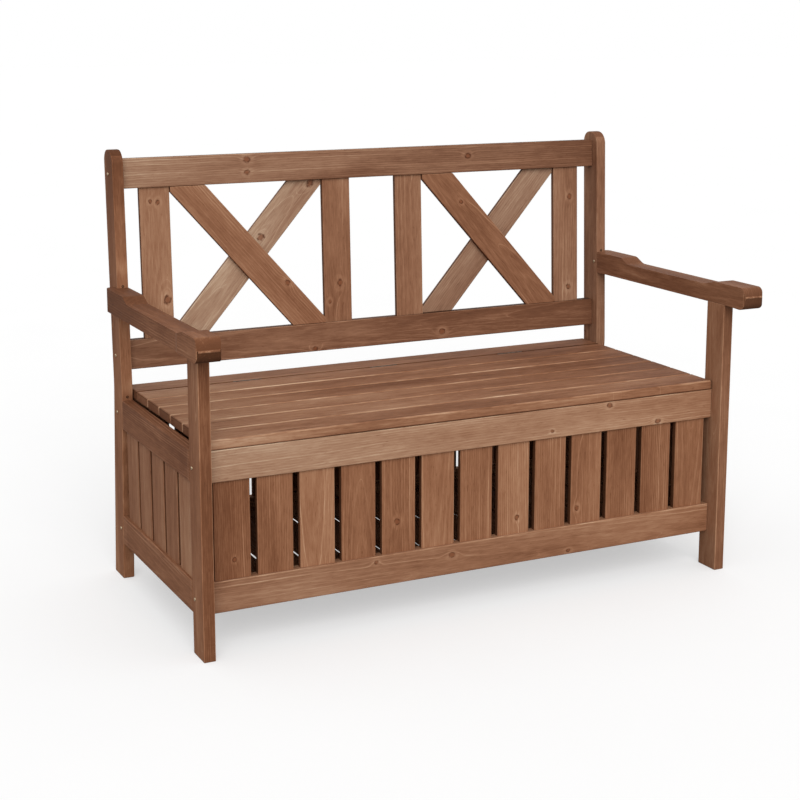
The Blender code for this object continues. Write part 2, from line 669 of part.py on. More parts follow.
def make_back(parts, cutters):
    """The raked back rest: two rails, four upright slats and two panels of crossed diagonals."""
    rest = bpy.data.objects.new("back_rest", None)
    parts.objects.link(rest)
    rest.location = (0, back_plane(KNEE_HEIGHT), KNEE_HEIGHT)
    rest.rotation_euler = (-BACK_RAKE, 0, 0)
    low = back_local(BACK_BOTTOM_RAIL_HEIGHT)
    high = back_local(BACK_TOP_RAIL_HEIGHT)
    stations = (-BACK_END_SLAT_OFFSET, -BACK_MIDDLE_SLAT_OFFSET,
                BACK_MIDDLE_SLAT_OFFSET, BACK_END_SLAT_OFFSET)
    for name, bottom, mouth, upward in (("back_top_rail", high, high, 1),
                                        ("back_bottom_rail", low, low + RAIL_WIDTH, -1)):
        middle = bottom + RAIL_WIDTH / 2
        rail = board(name, (RAIL_LENGTH, BOARD_THICKNESS, RAIL_WIDTH), (0, 0, middle), "X", PINE_BACK,
                     parts, rest)
        bm = mortises(stations, "X", BACK_SLAT_WIDTH, SLAT_THICKNESS, 0, mouth, upward)
        cut(rail, bm, "mortises", cutters)
        fasten_rail(rail, 0, middle, cutters)
    clear = high - low - RAIL_WIDTH
    centre = low + RAIL_WIDTH + clear / 2
    for number, x in enumerate(stations, 1):
        size = (BACK_SLAT_WIDTH, SLAT_THICKNESS, clear + 2 * TENON_LENGTH)
        board("back_slat_%d" % number, size, (x, 0, centre), "Z", PINE_BACK, parts, rest)
    bay = BACK_END_SLAT_OFFSET - BACK_MIDDLE_SLAT_OFFSET - BACK_SLAT_WIDTH - 2 * FIT_GAP
    lap = DIAGONAL_THICKNESS / 2 + FIT_GAP / 2
    for label, side in SIDES.items():
        x = side * (BACK_END_SLAT_OFFSET + BACK_MIDDLE_SLAT_OFFSET) / 2
        for form, rising, y in (("front", False, -lap), ("rear", True, lap)):
            outline = diagonal_outline(bay, clear - 2 * FIT_GAP, rising)
            shaped_board("back_diagonal_%s_%s" % (form, label), outline, DIAGONAL_THICKNESS, FRONT_VIEW,
                         (x, y, centre), PINE_BACK, parts, rest)


def hinge_stations():
    """Middles of the three hinges along the rear of the lid."""
    return (-HINGE_SPACING, 0, HINGE_SPACING)


def seat_slat(name, front, origin, parts, parent=None):
    """One seat slat with rounded long edges, placed from an origin."""
    size = (SEAT_LENGTH, SEAT_SLAT_WIDTH, SEAT_SLAT_THICKNESS)
    centre = Vector((0, front + SEAT_SLAT_WIDTH / 2, SEAT_TOP - SEAT_SLAT_THICKNESS / 2)) - origin
    return board(name, size, centre, "X", PINE_SEAT, parts, parent, SEAT_EDGE_ROUND,
                 SEAT_EDGE_STEPS)


def let_in_hinges(slat, towards, origin, cutters):
    """Cuts the edge of a seat slat for the leaves and the knuckles of the hinges."""
    leaves = bmesh.new()
    knuckles = bmesh.new()
    length = HINGE_LENGTH + 2 * FIT_GAP
    height = LEAF_HEIGHT + FIT_GAP
    for x in hinge_stations():
        line = Vector((x, HINGE_Y, HINGE_Z)) - origin
        recess = line + Vector((0, towards * HINGE_GAP / 2, -height / 2))
        add_block(leaves, (length, 2 * LEAF_RECESS, height), recess)
        add_rod(knuckles, line - Vector((length / 2, 0, 0)), KNUCKLE_RADIUS + KNUCKLE_RELIEF, length)
    cut(slat, leaves, "leaf_recesses", cutters)
    cut(slat, knuckles, "knuckle_reliefs", cutters)


def make_leaf(name, line, towards, own, parts, cutters, parent=None):
    """One leaf of a hinge: a plate with fingers that are rolled into its own knuckles."""
    neck = -(KNUCKLE_RADIUS + KNUCKLE_END_PLAY)
    finger_top = -(PIN_RADIUS + PIN_PLAY + KNUCKLE_RADIUS) / 2
    left, right = -HINGE_LENGTH / 2, HINGE_LENGTH / 2
    outline = [Vector((left, -LEAF_HEIGHT)), Vector((right, -LEAF_HEIGHT))]
    if HINGE_KNUCKLES - 1 not in own:
        outline.append(Vector((right, neck)))
    rolls = bmesh.new()
    for knuckle in reversed(own):
        start = left + knuckle * KNUCKLE_LENGTH
        end = start + KNUCKLE_LENGTH
        start += KNUCKLE_END_PLAY / 2 if knuckle > 0 else 0
        end -= KNUCKLE_END_PLAY / 2 if knuckle < HINGE_KNUCKLES - 1 else 0
        if end < right:
            outline.append(Vector((end, neck)))
        outline += [Vector((end, finger_top)), Vector((start, finger_top))]
        if start > left:
            outline.append(Vector((start, neck)))
        add_rod(rolls, (start, 0, 0), KNUCKLE_RADIUS, end - start)
    if 0 not in own:
        outline.append(Vector((left, neck)))
    mesh = outline_mesh(name, outline, LEAF_THICKNESS, FRONT_VIEW)
    mesh.transform(Matrix.Translation((0, towards * LEAF_MIDDLE, 0)))
    piece = place(name, mesh, parts, parent, make_material(name, STEEL, STEEL_ROUGHNESS, STEEL_METALLIC))
    piece.location = line
    cut(piece, rolls, "knuckles", cutters, "UNION")
    bore = bmesh.new()
    add_rod(bore, (2 * left, 0, 0), PIN_RADIUS + PIN_PLAY, 2 * HINGE_LENGTH)
    cut(piece, bore, "bore", cutters)


def make_hinges(lid, hinge_line, parts, cutters):
    """Three butt hinges whose pins lie just under the top of the seat."""
    fixed = [knuckle for knuckle in range(HINGE_KNUCKLES) if knuckle % 2]
    moving = [knuckle for knuckle in range(HINGE_KNUCKLES) if not knuckle % 2]
    for number, x in enumerate(hinge_stations(), 1):
        line = Vector((x, HINGE_Y, HINGE_Z))
        make_leaf("hinge_%d_fixed_leaf" % number, line, 1, fixed, parts, cutters)
        make_leaf("hinge_%d_moving_leaf" % number, line - hinge_line, -1, moving, parts, cutters, lid)
        bm = bmesh.new()
        add_rod(bm, (-HINGE_LENGTH / 2, 0, 0), PIN_RADIUS, HINGE_LENGTH)
        name = "hinge_%d_pin" % number
        steel = make_material(name, STEEL, STEEL_ROUGHNESS, STEEL_METALLIC)
        pin = place(name, mesh_from(bm, name), parts, None, steel)
        pin.location = line


def make_seat(parts, cutters):
    """The seat: a lid of slats on battens, hinged to the slat that is fixed between the posts."""
    hinge_line = Vector((0, HINGE_Y, HINGE_Z))
    lid = bpy.data.objects.new("lid", None)
    parts.objects.link(lid)
    lid.location = hinge_line
    fixed = seat_slat("seat_rear_slat", LID_REAR + HINGE_GAP, Vector(), parts)
    let_in_hinges(fixed, 1, Vector(), cutters)
    for number in range(LID_SLATS):
        front = SEAT_FRONT + number * SEAT_PITCH
        slat = seat_slat("lid_slat_%d" % (number + 1), front, hinge_line, parts, lid)
    let_in_hinges(slat, -1, hinge_line, cutters)
    make_hinges(lid, hinge_line, parts, cutters)
    batten_front = FRONT_RAIL_Y + BOARD_THICKNESS / 2 + BATTEN_FRONT_CLEARANCE
    batten_rear = LID_REAR - BATTEN_REAR_CLEARANCE
    size = (BATTEN_WIDTH, batten_rear - batten_front, BATTEN_THICKNESS)
    height = SEAT_UNDERSIDE - FIT_GAP - BATTEN_THICKNESS / 2
    for number, x in enumerate((-BATTEN_SPACING, 0, BATTEN_SPACING), 1):
        centre = Vector((x, (batten_front + batten_rear) / 2, height)) - hinge_line
        board("lid_batten_%d" % number, size, centre, "Y", PINE_INSIDE, parts, lid)


def main():
    """Builds the whole bench."""
    clear_scene()
    parts = new_collection("garden_storage_bench")
    cutters = new_collection("cutters")
    make_ends(parts, cutters)
    make_box(parts, cutters)
    make_back(parts, cutters)
    make_seat(parts, cutters)


main()
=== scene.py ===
"""Looks of the garden storage bench: stained pine boards, dull zinc fixings, a pale floor and soft light.

Metres, +X to the right of someone who looks at the front, +Y to the back, +Z up. Each board is drawn
with its grain along its own X, its width along Y and its thickness along Z, and is then put in place.
"""

import math
import random

import bmesh
import bpy
from mathutils import Matrix, Vector


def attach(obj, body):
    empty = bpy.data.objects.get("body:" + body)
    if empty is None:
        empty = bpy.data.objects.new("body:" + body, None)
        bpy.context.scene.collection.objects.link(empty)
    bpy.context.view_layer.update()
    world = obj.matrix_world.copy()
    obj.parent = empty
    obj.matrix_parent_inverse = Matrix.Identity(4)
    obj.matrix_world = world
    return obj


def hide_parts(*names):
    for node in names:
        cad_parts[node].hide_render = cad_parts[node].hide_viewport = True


bl_info = {
    "name": "Garden Storage Bench",
    "version": (1, 0, 0),
    "blender": (4, 5, 0),
    "location": "3D View > Sidebar > Bench",
    "description": "Builds the boards, fixings, finishes and stage of a garden storage bench",
    "category": "Add Mesh",
}

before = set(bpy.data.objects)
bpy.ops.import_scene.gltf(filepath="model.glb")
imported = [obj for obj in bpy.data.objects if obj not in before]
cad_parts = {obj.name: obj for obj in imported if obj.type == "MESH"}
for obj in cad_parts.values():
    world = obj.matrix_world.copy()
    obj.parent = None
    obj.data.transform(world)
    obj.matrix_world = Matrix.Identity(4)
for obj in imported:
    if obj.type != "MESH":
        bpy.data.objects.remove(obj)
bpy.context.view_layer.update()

# Timber sections
BOARD = 0.022
RAIL = 0.0575
SLAT = 0.011
FIT = 0.0003
TENON = 0.008

# Frame ends
INNER_X = 0.5308
END_X = INNER_X + BOARD / 2
LEG_FRONT = -0.2356
LEG_DEPTH = 0.0544
LEG_BACK = LEG_FRONT + LEG_DEPTH
POST_HEIGHT = 0.85
KNEE = 0.39
RAKE = math.radians(2.2)
POST_FRONT_KNEE = 0.2139
POST_FRONT_FOOT = 0.2425
POST_BACK_KNEE = 0.2674
POST_BACK_FOOT = 0.3

# Armrests
ARM_HEIGHT = 0.545
ARM_NOSE = -0.3
ARM_WIDTH = 0.0406
ARM_TONGUE = 0.0205

# Box
RAIL_LENGTH = 2 * (INNER_X - FIT)
LOW_RAIL = 0.075
HIGH_RAIL = 0.3115
FRONT_Y = -0.1956
REAR_Y = 0.2474
BOX_SLAT = 0.0675
FLOOR_TOP = 0.111
FLOOR_THICKNESS = 0.008
FLOOR_BOARDS = 14
FLOOR_PITCH = 0.07654
FLOOR_WIDTH = 0.06594
CLEAT = 0.02

# Back rest, seen in its own raked plane with its foot at the knee of the posts
BACK_Y = 0.2429
BACK_LOW = 0.03453
BACK_HIGH = 0.38533
BACK_SLAT = 0.0606
BACK_OFFSETS = (-0.4648, -0.082, 0.082, 0.4648)
BAY = 0.3216
BAY_MIDDLE = 0.2734
DIAGONAL_INSET = 0.0316
DIAGONAL = 0.0105
LAP = 0.0054

# Seat
SEAT_TOP = 0.3878
SEAT_SLAT = 0.0655
SEAT_PITCH = 0.068
SEAT_THICKNESS = 0.0185
SEAT_LENGTH = 1.056
LID_SLATS = 6
SEAT_FRONT = -0.2076
REAR_SLAT_FRONT = 0.2009
BATTENS = (-0.4, 0.0, 0.4)
BATTEN_WIDTH = 0.045
BATTEN_THICKNESS = 0.018
BATTEN_FRONT = -0.1806
BATTEN_REAR = 0.1919
BATTEN_UNDERSIDE = 0.351

# Hinges
HINGES = (-0.3, 0.0, 0.3)
HINGE_Y = 0.1994
HINGE_Z = 0.3856
HINGE_LENGTH = 0.06
KNUCKLE = 0.0033
LEAF_HEIGHT = 0.0133
LEAF_FACE = 0.0005

X, Y, Z = Vector((1, 0, 0)), Vector((0, 1, 0)), Vector((0, 0, 1))
SIDES = {"left": -1, "right": 1}
BACK_FRAME = Matrix.Translation((0, BACK_Y, KNEE)) @ Matrix.Rotation(-RAKE, 4, "X")


def length(name, description, default, low, high):
    """A length that a user can change."""
    return bpy.props.FloatProperty(name=name, description=description, default=default, min=low, max=high,
                                   precision=4, subtype="DISTANCE", unit="LENGTH")


def tint(name, description, default):
    """A colour that a user can change."""
    return bpy.props.FloatVectorProperty(name=name, description=description, default=default, min=0, max=1,
                                         subtype="COLOR")


class BenchSizes(bpy.types.PropertyGroup):
    """Small sizes that the solids leave to the finished look."""

    arris: length("Arris", "Radius of the sanded edges of the boards", 0.0016, 0.0002, 0.004)
    seat_edge: length("Seat edge", "Radius of the long edges of the seat slats", 0.0028, 0.0002, 0.006)
    bolt_head: length("Bolt head", "Radius of the bolt heads on the legs and posts", 0.0031, 0.002, 0.008)
    screw_head: length("Screw head", "Radius of the screw heads under the lid", 0.0032, 0.001, 0.005)


class BenchFinish(bpy.types.PropertyGroup):
    """Colours and strengths of the finishes."""

    stain_dark: tint("Dark stain", "Colour where the pine took most stain", (0.165, 0.063, 0.029))
    stain_middle: tint("Middle stain", "Usual colour of the stained pine", (0.272, 0.119, 0.060))
    stain_light: tint("Light stain", "Colour where the pine took little stain", (0.385, 0.197, 0.109))
    bare: tint("Bare pine", "Colour where the stain has worn through", (0.66, 0.44, 0.29))
    greying: bpy.props.FloatVectorProperty(
        name="Greying", description="Share of its red that the pine gains in each channel as it greys",
        default=(0.0, 0.12, 0.13), min=0, max=1)
    knot: tint("Knot", "Colour of the rims of the knots", (0.075, 0.024, 0.011))
    ring_spacing: length("Ring spacing", "Distance between the year rings of the pine", 0.0042, 0.001, 0.02)
    zinc: tint("Zinc", "Colour of the zinc plated screws", (0.34, 0.31, 0.27))
    # The hinges are drawn dark, partly as painted shade in the gap between the seat slats.
    hinge: tint("Hinge", "Colour of the weathered hinges", (0.15, 0.13, 0.11))
    bolt: tint("Bolt", "Colour of the yellow plated bolt heads", (0.54, 0.42, 0.28))
    # The screws in the posts are drawn near black.
    post_screw: tint("Post screw", "Colour of the stained screws in the posts", (0.045, 0.030, 0.022))
    rust: tint("Rust", "Colour of the rust spots on the fixings", (0.17, 0.085, 0.045))
    floor: tint("Floor", "Colour of the floor", (1.0, 1.0, 1.0))


# Finishes ------------------------------------------------------------------------------------------

class Value:
    """A value that changes over a surface; a sum on it adds a Math node."""

    def __init__(self, wiring, socket):
        self.wiring = wiring
        self.socket = socket

    def __add__(self, other):
        return self.wiring.math("ADD", self, other)

    def __sub__(self, other):
        return self.wiring.math("SUBTRACT", self, other)

    def __rsub__(self, other):
        return self.wiring.math("SUBTRACT", other, self)

    def __mul__(self, other):
        return self.wiring.math("MULTIPLY", self, other)

    def __truediv__(self, other):
        return self.wiring.math("DIVIDE", self, other)

    def __pow__(self, other):
        return self.wiring.math("POWER", self, other)

    def __abs__(self):
        return self.wiring.math("ABSOLUTE", self)


class Wiring:
    """Adds nodes to a tree and links them to each other."""

    def __init__(self, tree):
        self.tree = tree

    def node(self, kind, feeds=None, **settings):
        """One node, with its settings made and its sockets set or linked."""
        node = self.tree.nodes.new(kind)
        for setting, value in settings.items():
            setattr(node, setting, value)
        for socket, value in (feeds or {}).items():
            self.feed(node.inputs[socket], value)
        return node

    def feed(self, socket, value):
        """Links a socket to a value that changes, or sets it to one that does not."""
        if isinstance(value, Value):
            self.tree.links.new(value.socket, socket)
        else:
            socket.default_value = value

    def outputs(self, node):
        """The outputs of a node by name."""
        return {socket.name: Value(self, socket) for socket in node.outputs}

    def output(self, name, kind, feeds=None, **settings):
        """One output of a new node."""
        return Value(self, self.node(kind, feeds, **settings).outputs[name])

    def math(self, operation, *values, clamp=False):
        """The result of a sum."""
        return self.output(0, "ShaderNodeMath", dict(enumerate(values)), operation=operation, use_clamp=clamp)

    def vector(self, operation, *values):
        """The result of a sum on vectors."""
        return self.output("Vector", "ShaderNodeVectorMath", dict(enumerate(values)), operation=operation)

    def split(self, vector):
        """The three parts of a vector."""
        return [Value(self, part) for part in self.node("ShaderNodeSeparateXYZ", {0: vector}).outputs]

    def join(self, *parts):
        """A vector of three parts."""
        return self.output(0, "ShaderNodeCombineXYZ", dict(enumerate(parts)))

    def noise(self, position, stretch, detail=2.0, roughness=0.5):
        """Noise drawn out along the grain by a stretch for each direction."""
        where = self.vector("MULTIPLY", position, stretch)
        return self.output("Fac", "ShaderNodeTexNoise",
                           {"Vector": where, "Scale": 1.0, "Detail": detail, "Roughness": roughness})

    def step(self, value, low, high):
        """A smooth step from 0 at low to 1 at high."""
        return self.output("Result", "ShaderNodeMapRange",
                           {"Value": value, "From Min": low, "From Max": high}, interpolation_type="SMOOTHSTEP")

    def mix(self, share, first, second):
        """A colour between two colours."""
        node = self.node("ShaderNodeMix", {"Factor": share, "A": first, "B": second}, data_type="RGBA")
        return Value(self, next(socket for socket in node.outputs if socket.type == "RGBA"))

    def ramp(self, share, stops):
        """A colour from a ramp of (place, colour) stops."""
        node = self.node("ShaderNodeValToRGB", {"Fac": share})
        elements = node.color_ramp.elements
        while len(elements) < len(stops):
            elements.new(1.0)
        for element, (place, colour) in zip(elements, stops):
            element.position = place
            element.color = colour
        return Value(self, node.outputs["Color"])

    def attribute(self, kind, name, output="Fac"):
        """A number or vector that a board or a face keeps for itself."""
        return self.output(output, "ShaderNodeAttribute", attribute_type=kind, attribute_name=name)

    def position(self):
        """Where a point lies in its board, along the grain, across it and through it."""
        return self.output("Object", "ShaderNodeTexCoord")

    def group(self, name, feeds):
        """The outputs of a shared group, placed with its own values."""
        return self.outputs(self.node("ShaderNodeGroup", feeds, node_tree=shared_group(name)))

    def bump(self, height, strength, distance):
        """A normal from a height."""
        return self.output("Normal", "ShaderNodeBump",
                           {"Height": height, "Strength": strength, "Distance": distance})


def grey(level):
    """A grey as a colour."""
    return (level, level, level, 1.0)


def fill_knot(w, given):
    """One knot that runs through a board: how near it is, its core, its dark rim and its pale halo."""
    knot_x, knot_y, size = w.split(given["Knot"])
    x, y, _ = w.split(given["Position"])
    unit = w.math("MAXIMUM", size, 0.0005)
    along = (x - knot_x) / 1.25
    across = y - knot_y
    wobble = w.noise(given["Position"], (95.0, 95.0, 20.0), 3.0)
    radii = w.math("SQRT", along * along + across * across) / unit + (wobble - 0.5) * 1.5
    far = w.math("SQRT", (along / 1.5) ** 2.0 + across ** 2.0) / unit
    near = w.math("EXPONENT", far ** 2.0 * -0.22)
    rim = w.step(radii, 0.5, 0.95) * (1.0 - w.step(radii, 1.0, 1.45))
    rim = rim * w.step(w.noise(given["Position"], (170.0, 170.0, 30.0), 1.0), 0.30, 0.62)
    return {"Pull": near * (size * 1.6), "Core": 1.0 - w.step(radii, 0.65, 1.1), "Rim": rim,
            "Halo": w.step(radii, 1.1, 1.7) * (1.0 - w.step(radii, 1.8, 3.4)), "Radii": radii}


def fill_grain(w, given):
    """The figure of sawn pine: year rings seen along and across, fibres, streaks, flecks and knots."""
    position, seed, spacing = given["Position"], given["Seed"], given["Ring spacing"]
    strayed = w.vector("ADD", position, w.join(seed * 3.17, seed * 1.73, seed * 2.39))
    knots = [w.group("Pine knot", {"Position": position, "Knot": given["Knot " + label]}) for label in "ABC"]

    def gathered(operation, name):
        """One value from those of the three knots."""
        return w.math(operation, w.math(operation, knots[0][name], knots[1][name]), knots[2][name])

    core, rim, halo = (gathered("MAXIMUM", name) for name in ("Core", "Rim", "Halo"))
    x, y, z = w.split(position)
    heart_y, heart_z, heart_slope = w.split(given["Heart"])
    sway = (w.noise(strayed, (1.3, 2.0, 2.0)) - 0.5) * given["Sway"]
    ripple = (w.noise(strayed, (9.0, 26.0, 26.0)) - 0.5) * 0.0042
    across = y - heart_y + sway
    depth = z - (heart_z + x * heart_slope)
    radius = w.math("SQRT", across * across + depth * depth)
    radius = radius + ripple + sway * 0.35 - gathered("ADD", "Pull")
    rings = radius / spacing
    season = w.math("FRACT", rings)
    growth = w.output("Value", "ShaderNodeTexWhiteNoise", {"W": w.math("FLOOR", rings) + seed},
                      noise_dimensions="1D")
    slope = w.math("MAXIMUM", abs(across) / radius, 0.07)
    apart = abs(season - 0.6) * spacing / slope
    thin = 1.0 - w.step(apart, 0.0001, growth * 0.0009 + 0.0007)
    band = w.ramp(season, [(0.0, grey(0.50)), (0.35, grey(0.28)), (0.62, grey(0.80)), (0.75, grey(0.95)),
                           (0.86, grey(0.55)), (1.0, grey(0.50))])
    strength = growth ** 1.6 * w.step(w.noise(strayed, (3.0, 34.0, 34.0), 3.0), 0.34, 0.62)
    lines = thin * strength * 0.75 + band * 0.30
    swirl = w.math("SINE", gathered("MINIMUM", "Radii") * 13.0) * 0.5 + 0.5
    lines = lines * (1.0 - core) + swirl * core * 0.35
    blotch = w.noise(strayed, (2.3, 11.0, 11.0), 4.0, 0.56)
    vein = w.noise(w.vector("ADD", strayed, (3.1, 5.3, 1.7)), (1.3, 300.0, 300.0), 1.0, 0.4)
    return {"Rings": lines, "Blotch": blotch, "Knot": core, "Rim": rim, "Halo": halo,
            "Fibre": w.noise(strayed, (36.0, 560.0, 560.0), 4.0, 0.70),
            "Streak": w.noise(strayed, (3.6, 105.0, 105.0), 4.0, 0.62),
            "Cloud": w.noise(strayed, (38.0, 85.0, 85.0), 3.0, 0.6),
            "Fleck": w.step(w.noise(strayed, (75.0, 420.0, 420.0), 1.0, 0.4), 0.70, 0.78),
            "Vein": w.step(vein, 0.64, 0.72) * w.step(blotch, 0.36, 0.60),
            "Split": w.step(w.noise(strayed, (8.0, 250.0, 250.0), 1.0, 0.4), 0.705, 0.745)}


def fill_wear(w, given):
    """Where sanding and handling have thinned the stain: along arrises, and in small scuffs and scratches; an
    arris marked below zero comes out as painted shade.
    """
    x, y, z = w.split(w.vector("SUBTRACT", given["Half size"], w.vector("ABSOLUTE", given["Position"])))
    strayed = w.vector("ADD", given["Position"], w.join(*[given["Seed"]] * 3))
    patchy = w.noise(strayed, (8.0, 60.0, 60.0), 4.0, 0.68)
    reach = w.math("MAXIMUM", given["Width"] * (patchy * 2.2 - 0.45), 0.0003)
    distance = w.math("MAXIMUM", w.math("MINIMUM", x, y), w.math("MINIMUM", w.math("MAXIMUM", x, y), z))
    edge = (1.0 - w.step(distance, 0.0, reach)) * 0.4
    arris = w.math("MAXIMUM", given["Arris"], 0.0) * w.step(patchy, 0.40, 0.62)
    turned = w.output(0, "ShaderNodeVectorRotate", {"Vector": strayed, "Angle": 0.9}, rotation_type="Z_AXIS")
    slant = w.vector("ADD", strayed, w.vector("MULTIPLY", turned, (0.0, 1.0, 0.0)))
    scratch = w.step(w.noise(slant, (30.0, 900.0, 6.0), 0.0), 0.735, 0.775)
    scratch = scratch * w.step(w.noise(strayed, (9.0, 9.0, 9.0)), 0.54, 0.66)
    scuff = w.step(w.noise(strayed, (22.0, 240.0, 240.0), 3.0, 0.6), 0.66, 0.74)
    # An arris marked below zero stays below zero here: painted shade along that arris
    return {"Edge": w.math("MAXIMUM", edge, arris) + w.math("MINIMUM", given["Arris"], 0.0),
            "Scratch": scratch * given["Scratches"], "Scuff": scuff * given["Scratches"]}


NO_KNOT = (9.0, 9.0, 0.001)
# The shared groups: what fills each, its inputs with their defaults, and its outputs
GROUPS = {
    "Pine knot": (fill_knot, {"Position": (0, 0, 0), "Knot": NO_KNOT}, "Pull Core Rim Halo Radii"),
    "Pine figure": (fill_grain, {"Position": (0, 0, 0), "Seed": 0.0, "Heart": (0, -0.05, 0),
                                 "Ring spacing": 0.0042, "Sway": 0.03, "Knot A": NO_KNOT, "Knot B": NO_KNOT,
                                 "Knot C": NO_KNOT},
                    "Rings Fibre Streak Blotch Cloud Fleck Vein Split Knot Rim Halo"),
    "Edge wear": (fill_wear, {"Position": (0, 0, 0), "Seed": 0.0, "Half size": (9, 9, 9), "Arris": 0.0,
                              "Width": 0.0016, "Scratches": 0.5}, "Edge Scratch Scuff"),
}


def shared_group(name):
    """A node group with named sockets, built once."""
    group = bpy.data.node_groups.get(name)
    if group:
        return group
    fill, inputs, outputs = GROUPS[name]
    group = bpy.data.node_groups.new(name, "ShaderNodeTree")
    for socket_name, default in inputs.items():
        kind = "NodeSocketVector" if isinstance(default, tuple) else "NodeSocketFloat"
        socket = group.interface.new_socket(socket_name, in_out="INPUT", socket_type=kind)
        socket.default_value = default
    for socket_name in outputs.split():
        group.interface.new_socket(socket_name, in_out="OUTPUT", socket_type="NodeSocketFloat")
    w = Wiring(group)
    result = w.node("NodeGroupOutput").inputs
    for socket_name, value in fill(w, w.outputs(w.node("NodeGroupInput"))).items():
        w.feed(result[socket_name], value)
    return group


# Strengths of the figure for each finish: rings, fibre, streak, blotch, cloud, edge wear with painted arris
# shade, wear width, scratches, roughness, tone added all over
PINE_FINISHES = {
    "frame": (0.74, 1.20, 0.42, 1.70, 0.32, 0.50, 0.0012, 0.40, 0.64, 0.0),
    "slats": (0.76, 1.15, 0.38, 1.35, 0.30, 0.30, 0.0010, 0.30, 0.66, 0.0),
    "back": (0.76, 1.20, 0.42, 1.55, 0.32, 0.40, 0.0011, 0.50, 0.64, 0.0),
    "seat": (0.66, 1.40, 0.54, 1.80, 0.44, 0.72, 0.0014, 1.00, 0.66, 0.0),
    "inside": (0.60, 1.00, 0.50, 1.20, 0.40, 0.25, 0.0012, 0.20, 0.74, -0.42),
}
# Tone added on the sawn edges of the boards of each finish: partly the stain they take up, partly painted shade
# in the narrow gaps between the boards
EDGE_TONES = {"frame": 0.0, "slats": -0.95, "back": -0.85, "seat": -0.85, "inside": -0.35}


def new_finish(name):
    """A material with its wiring and the inputs of its shader."""
    material = bpy.data.materials.new(name)
    material.use_nodes = True
    w = Wiring(material.node_tree)
    return material, w, w.tree.nodes["Principled BSDF"].inputs


def pine(finish):
    """The stained pine of one family of boards."""
    name = "Stained pine, " + finish
    if name in bpy.data.materials:
        return bpy.data.materials[name]
    colours = bpy.context.scene.bench_finish
    rings, fibre, streak, blotch, cloud, arris_wear_and_shade, width, scratches, roughness, lift = PINE_FINISHES[finish]
    material, w, shader = new_finish(name)
    position = w.position()
    along = w.split(position)[0]
    seed = w.attribute("OBJECT", "seed")
    arris, end, edge = (w.attribute("GEOMETRY", face) for face in ("arris", "end_grain_and_shade", "sawn_edge"))
    heart, shade, greying_and_edge_tone, half_size = (w.attribute("OBJECT", kept, "Vector")
                                     for kept in ("heart", "shade", "greying_and_edge_tone", "half_size"))
    shade_level, shade_slope, sway = w.split(shade)
    # The edge tone is partly stain taken up by the sawn edges and partly painted light and shade.
    grey_level, grey_slope, edge_tone = w.split(greying_and_edge_tone)
    feeds = {"Position": position, "Seed": seed, "Heart": heart, "Ring spacing": colours.ring_spacing,
             "Sway": sway}
    for label in "ABC":
        feeds["Knot " + label] = w.attribute("OBJECT", "knot_" + label.lower(), "Vector")
    grain = w.group("Pine figure", feeds)
    worn = w.group("Edge wear", {"Position": position, "Seed": seed, "Half size": half_size, "Arris": arris,
                                 "Width": width, "Scratches": scratches})
    # The slope along the grain is painted light: it draws a board lighter towards the end that more light falls
    # on.
    tone = shade_level + along * shade_slope + (edge * edge_tone + lift)
    flat = w.math("MAXIMUM", end * -0.6 + 1.0, 0.4)
    for mask, middle, amount in (("Rings", 0.33, rings), ("Fibre", 0.5, fibre), ("Streak", 0.5, streak),
                                 ("Blotch", 0.5, blotch), ("Cloud", 0.5, cloud)):
        tone = tone + (grain[mask] - middle) * (flat * amount)
    # The seat's end grain is darkened about twice as much as the rest: the extra is painted shade in the gaps
    # at the ends of the seat.
    for mask, amount in ((grain["Fleck"], -0.30), (grain["Split"], -0.9 * scratches ** 2),
                         (grain["Halo"], 0.20), (grain["Vein"], 0.34),
                         (end, -0.80 if finish == "seat" else -0.42), (worn["Edge"], arris_wear_and_shade),
                         (worn["Scratch"], 0.45), (worn["Scuff"], 0.35)):
        tone = tone + mask * amount
    share = (tone + 1.0) / 3.0
    dark, middle, light, bare = (Vector(row) for row in (colours.stain_dark, colours.stain_middle,
                                                         colours.stain_light, colours.bare))
    stops = ((0.0, dark * 0.30), (0.333, dark), (0.5, middle), (0.667, light), (1.0, bare))
    stained = w.ramp(share, [(place, (*row, 1)) for place, row in stops])
    greyed = w.ramp(share, [(place, (*(row + Vector(colours.greying) * row[0]), 1)) for place, row in stops])
    colour = w.mix(w.math("MULTIPLY", along * grey_slope + grey_level, grain["Blotch"] + 0.5, clamp=True),
                   stained, greyed)
    heartwood = (dark[0] * 1.15, dark[1] * 0.95, dark[2] * 0.85, 1)
    colour = w.mix(grain["Knot"] * 0.68, colour, heartwood)
    w.feed(shader["Base Color"], w.mix(grain["Rim"] * 0.84, colour, (*colours.knot, 1)))
    rough = (grain["Fibre"] - 0.5) * 0.16 + roughness + grain["Rings"] * -0.08
    w.feed(shader["Roughness"], w.math("MULTIPLY_ADD", end, 0.15, rough, clamp=True))
    shader["Specular IOR Level"].default_value = 0.08
    height = grain["Fibre"] * 0.55 + grain["Rings"] * 0.45 + grain["Rim"] * -0.8 + worn["Scratch"] * -0.5
    w.feed(shader["Normal"], w.bump(height, 0.35, 0.0004))
    material.diffuse_color = (*middle, 1)
    return material


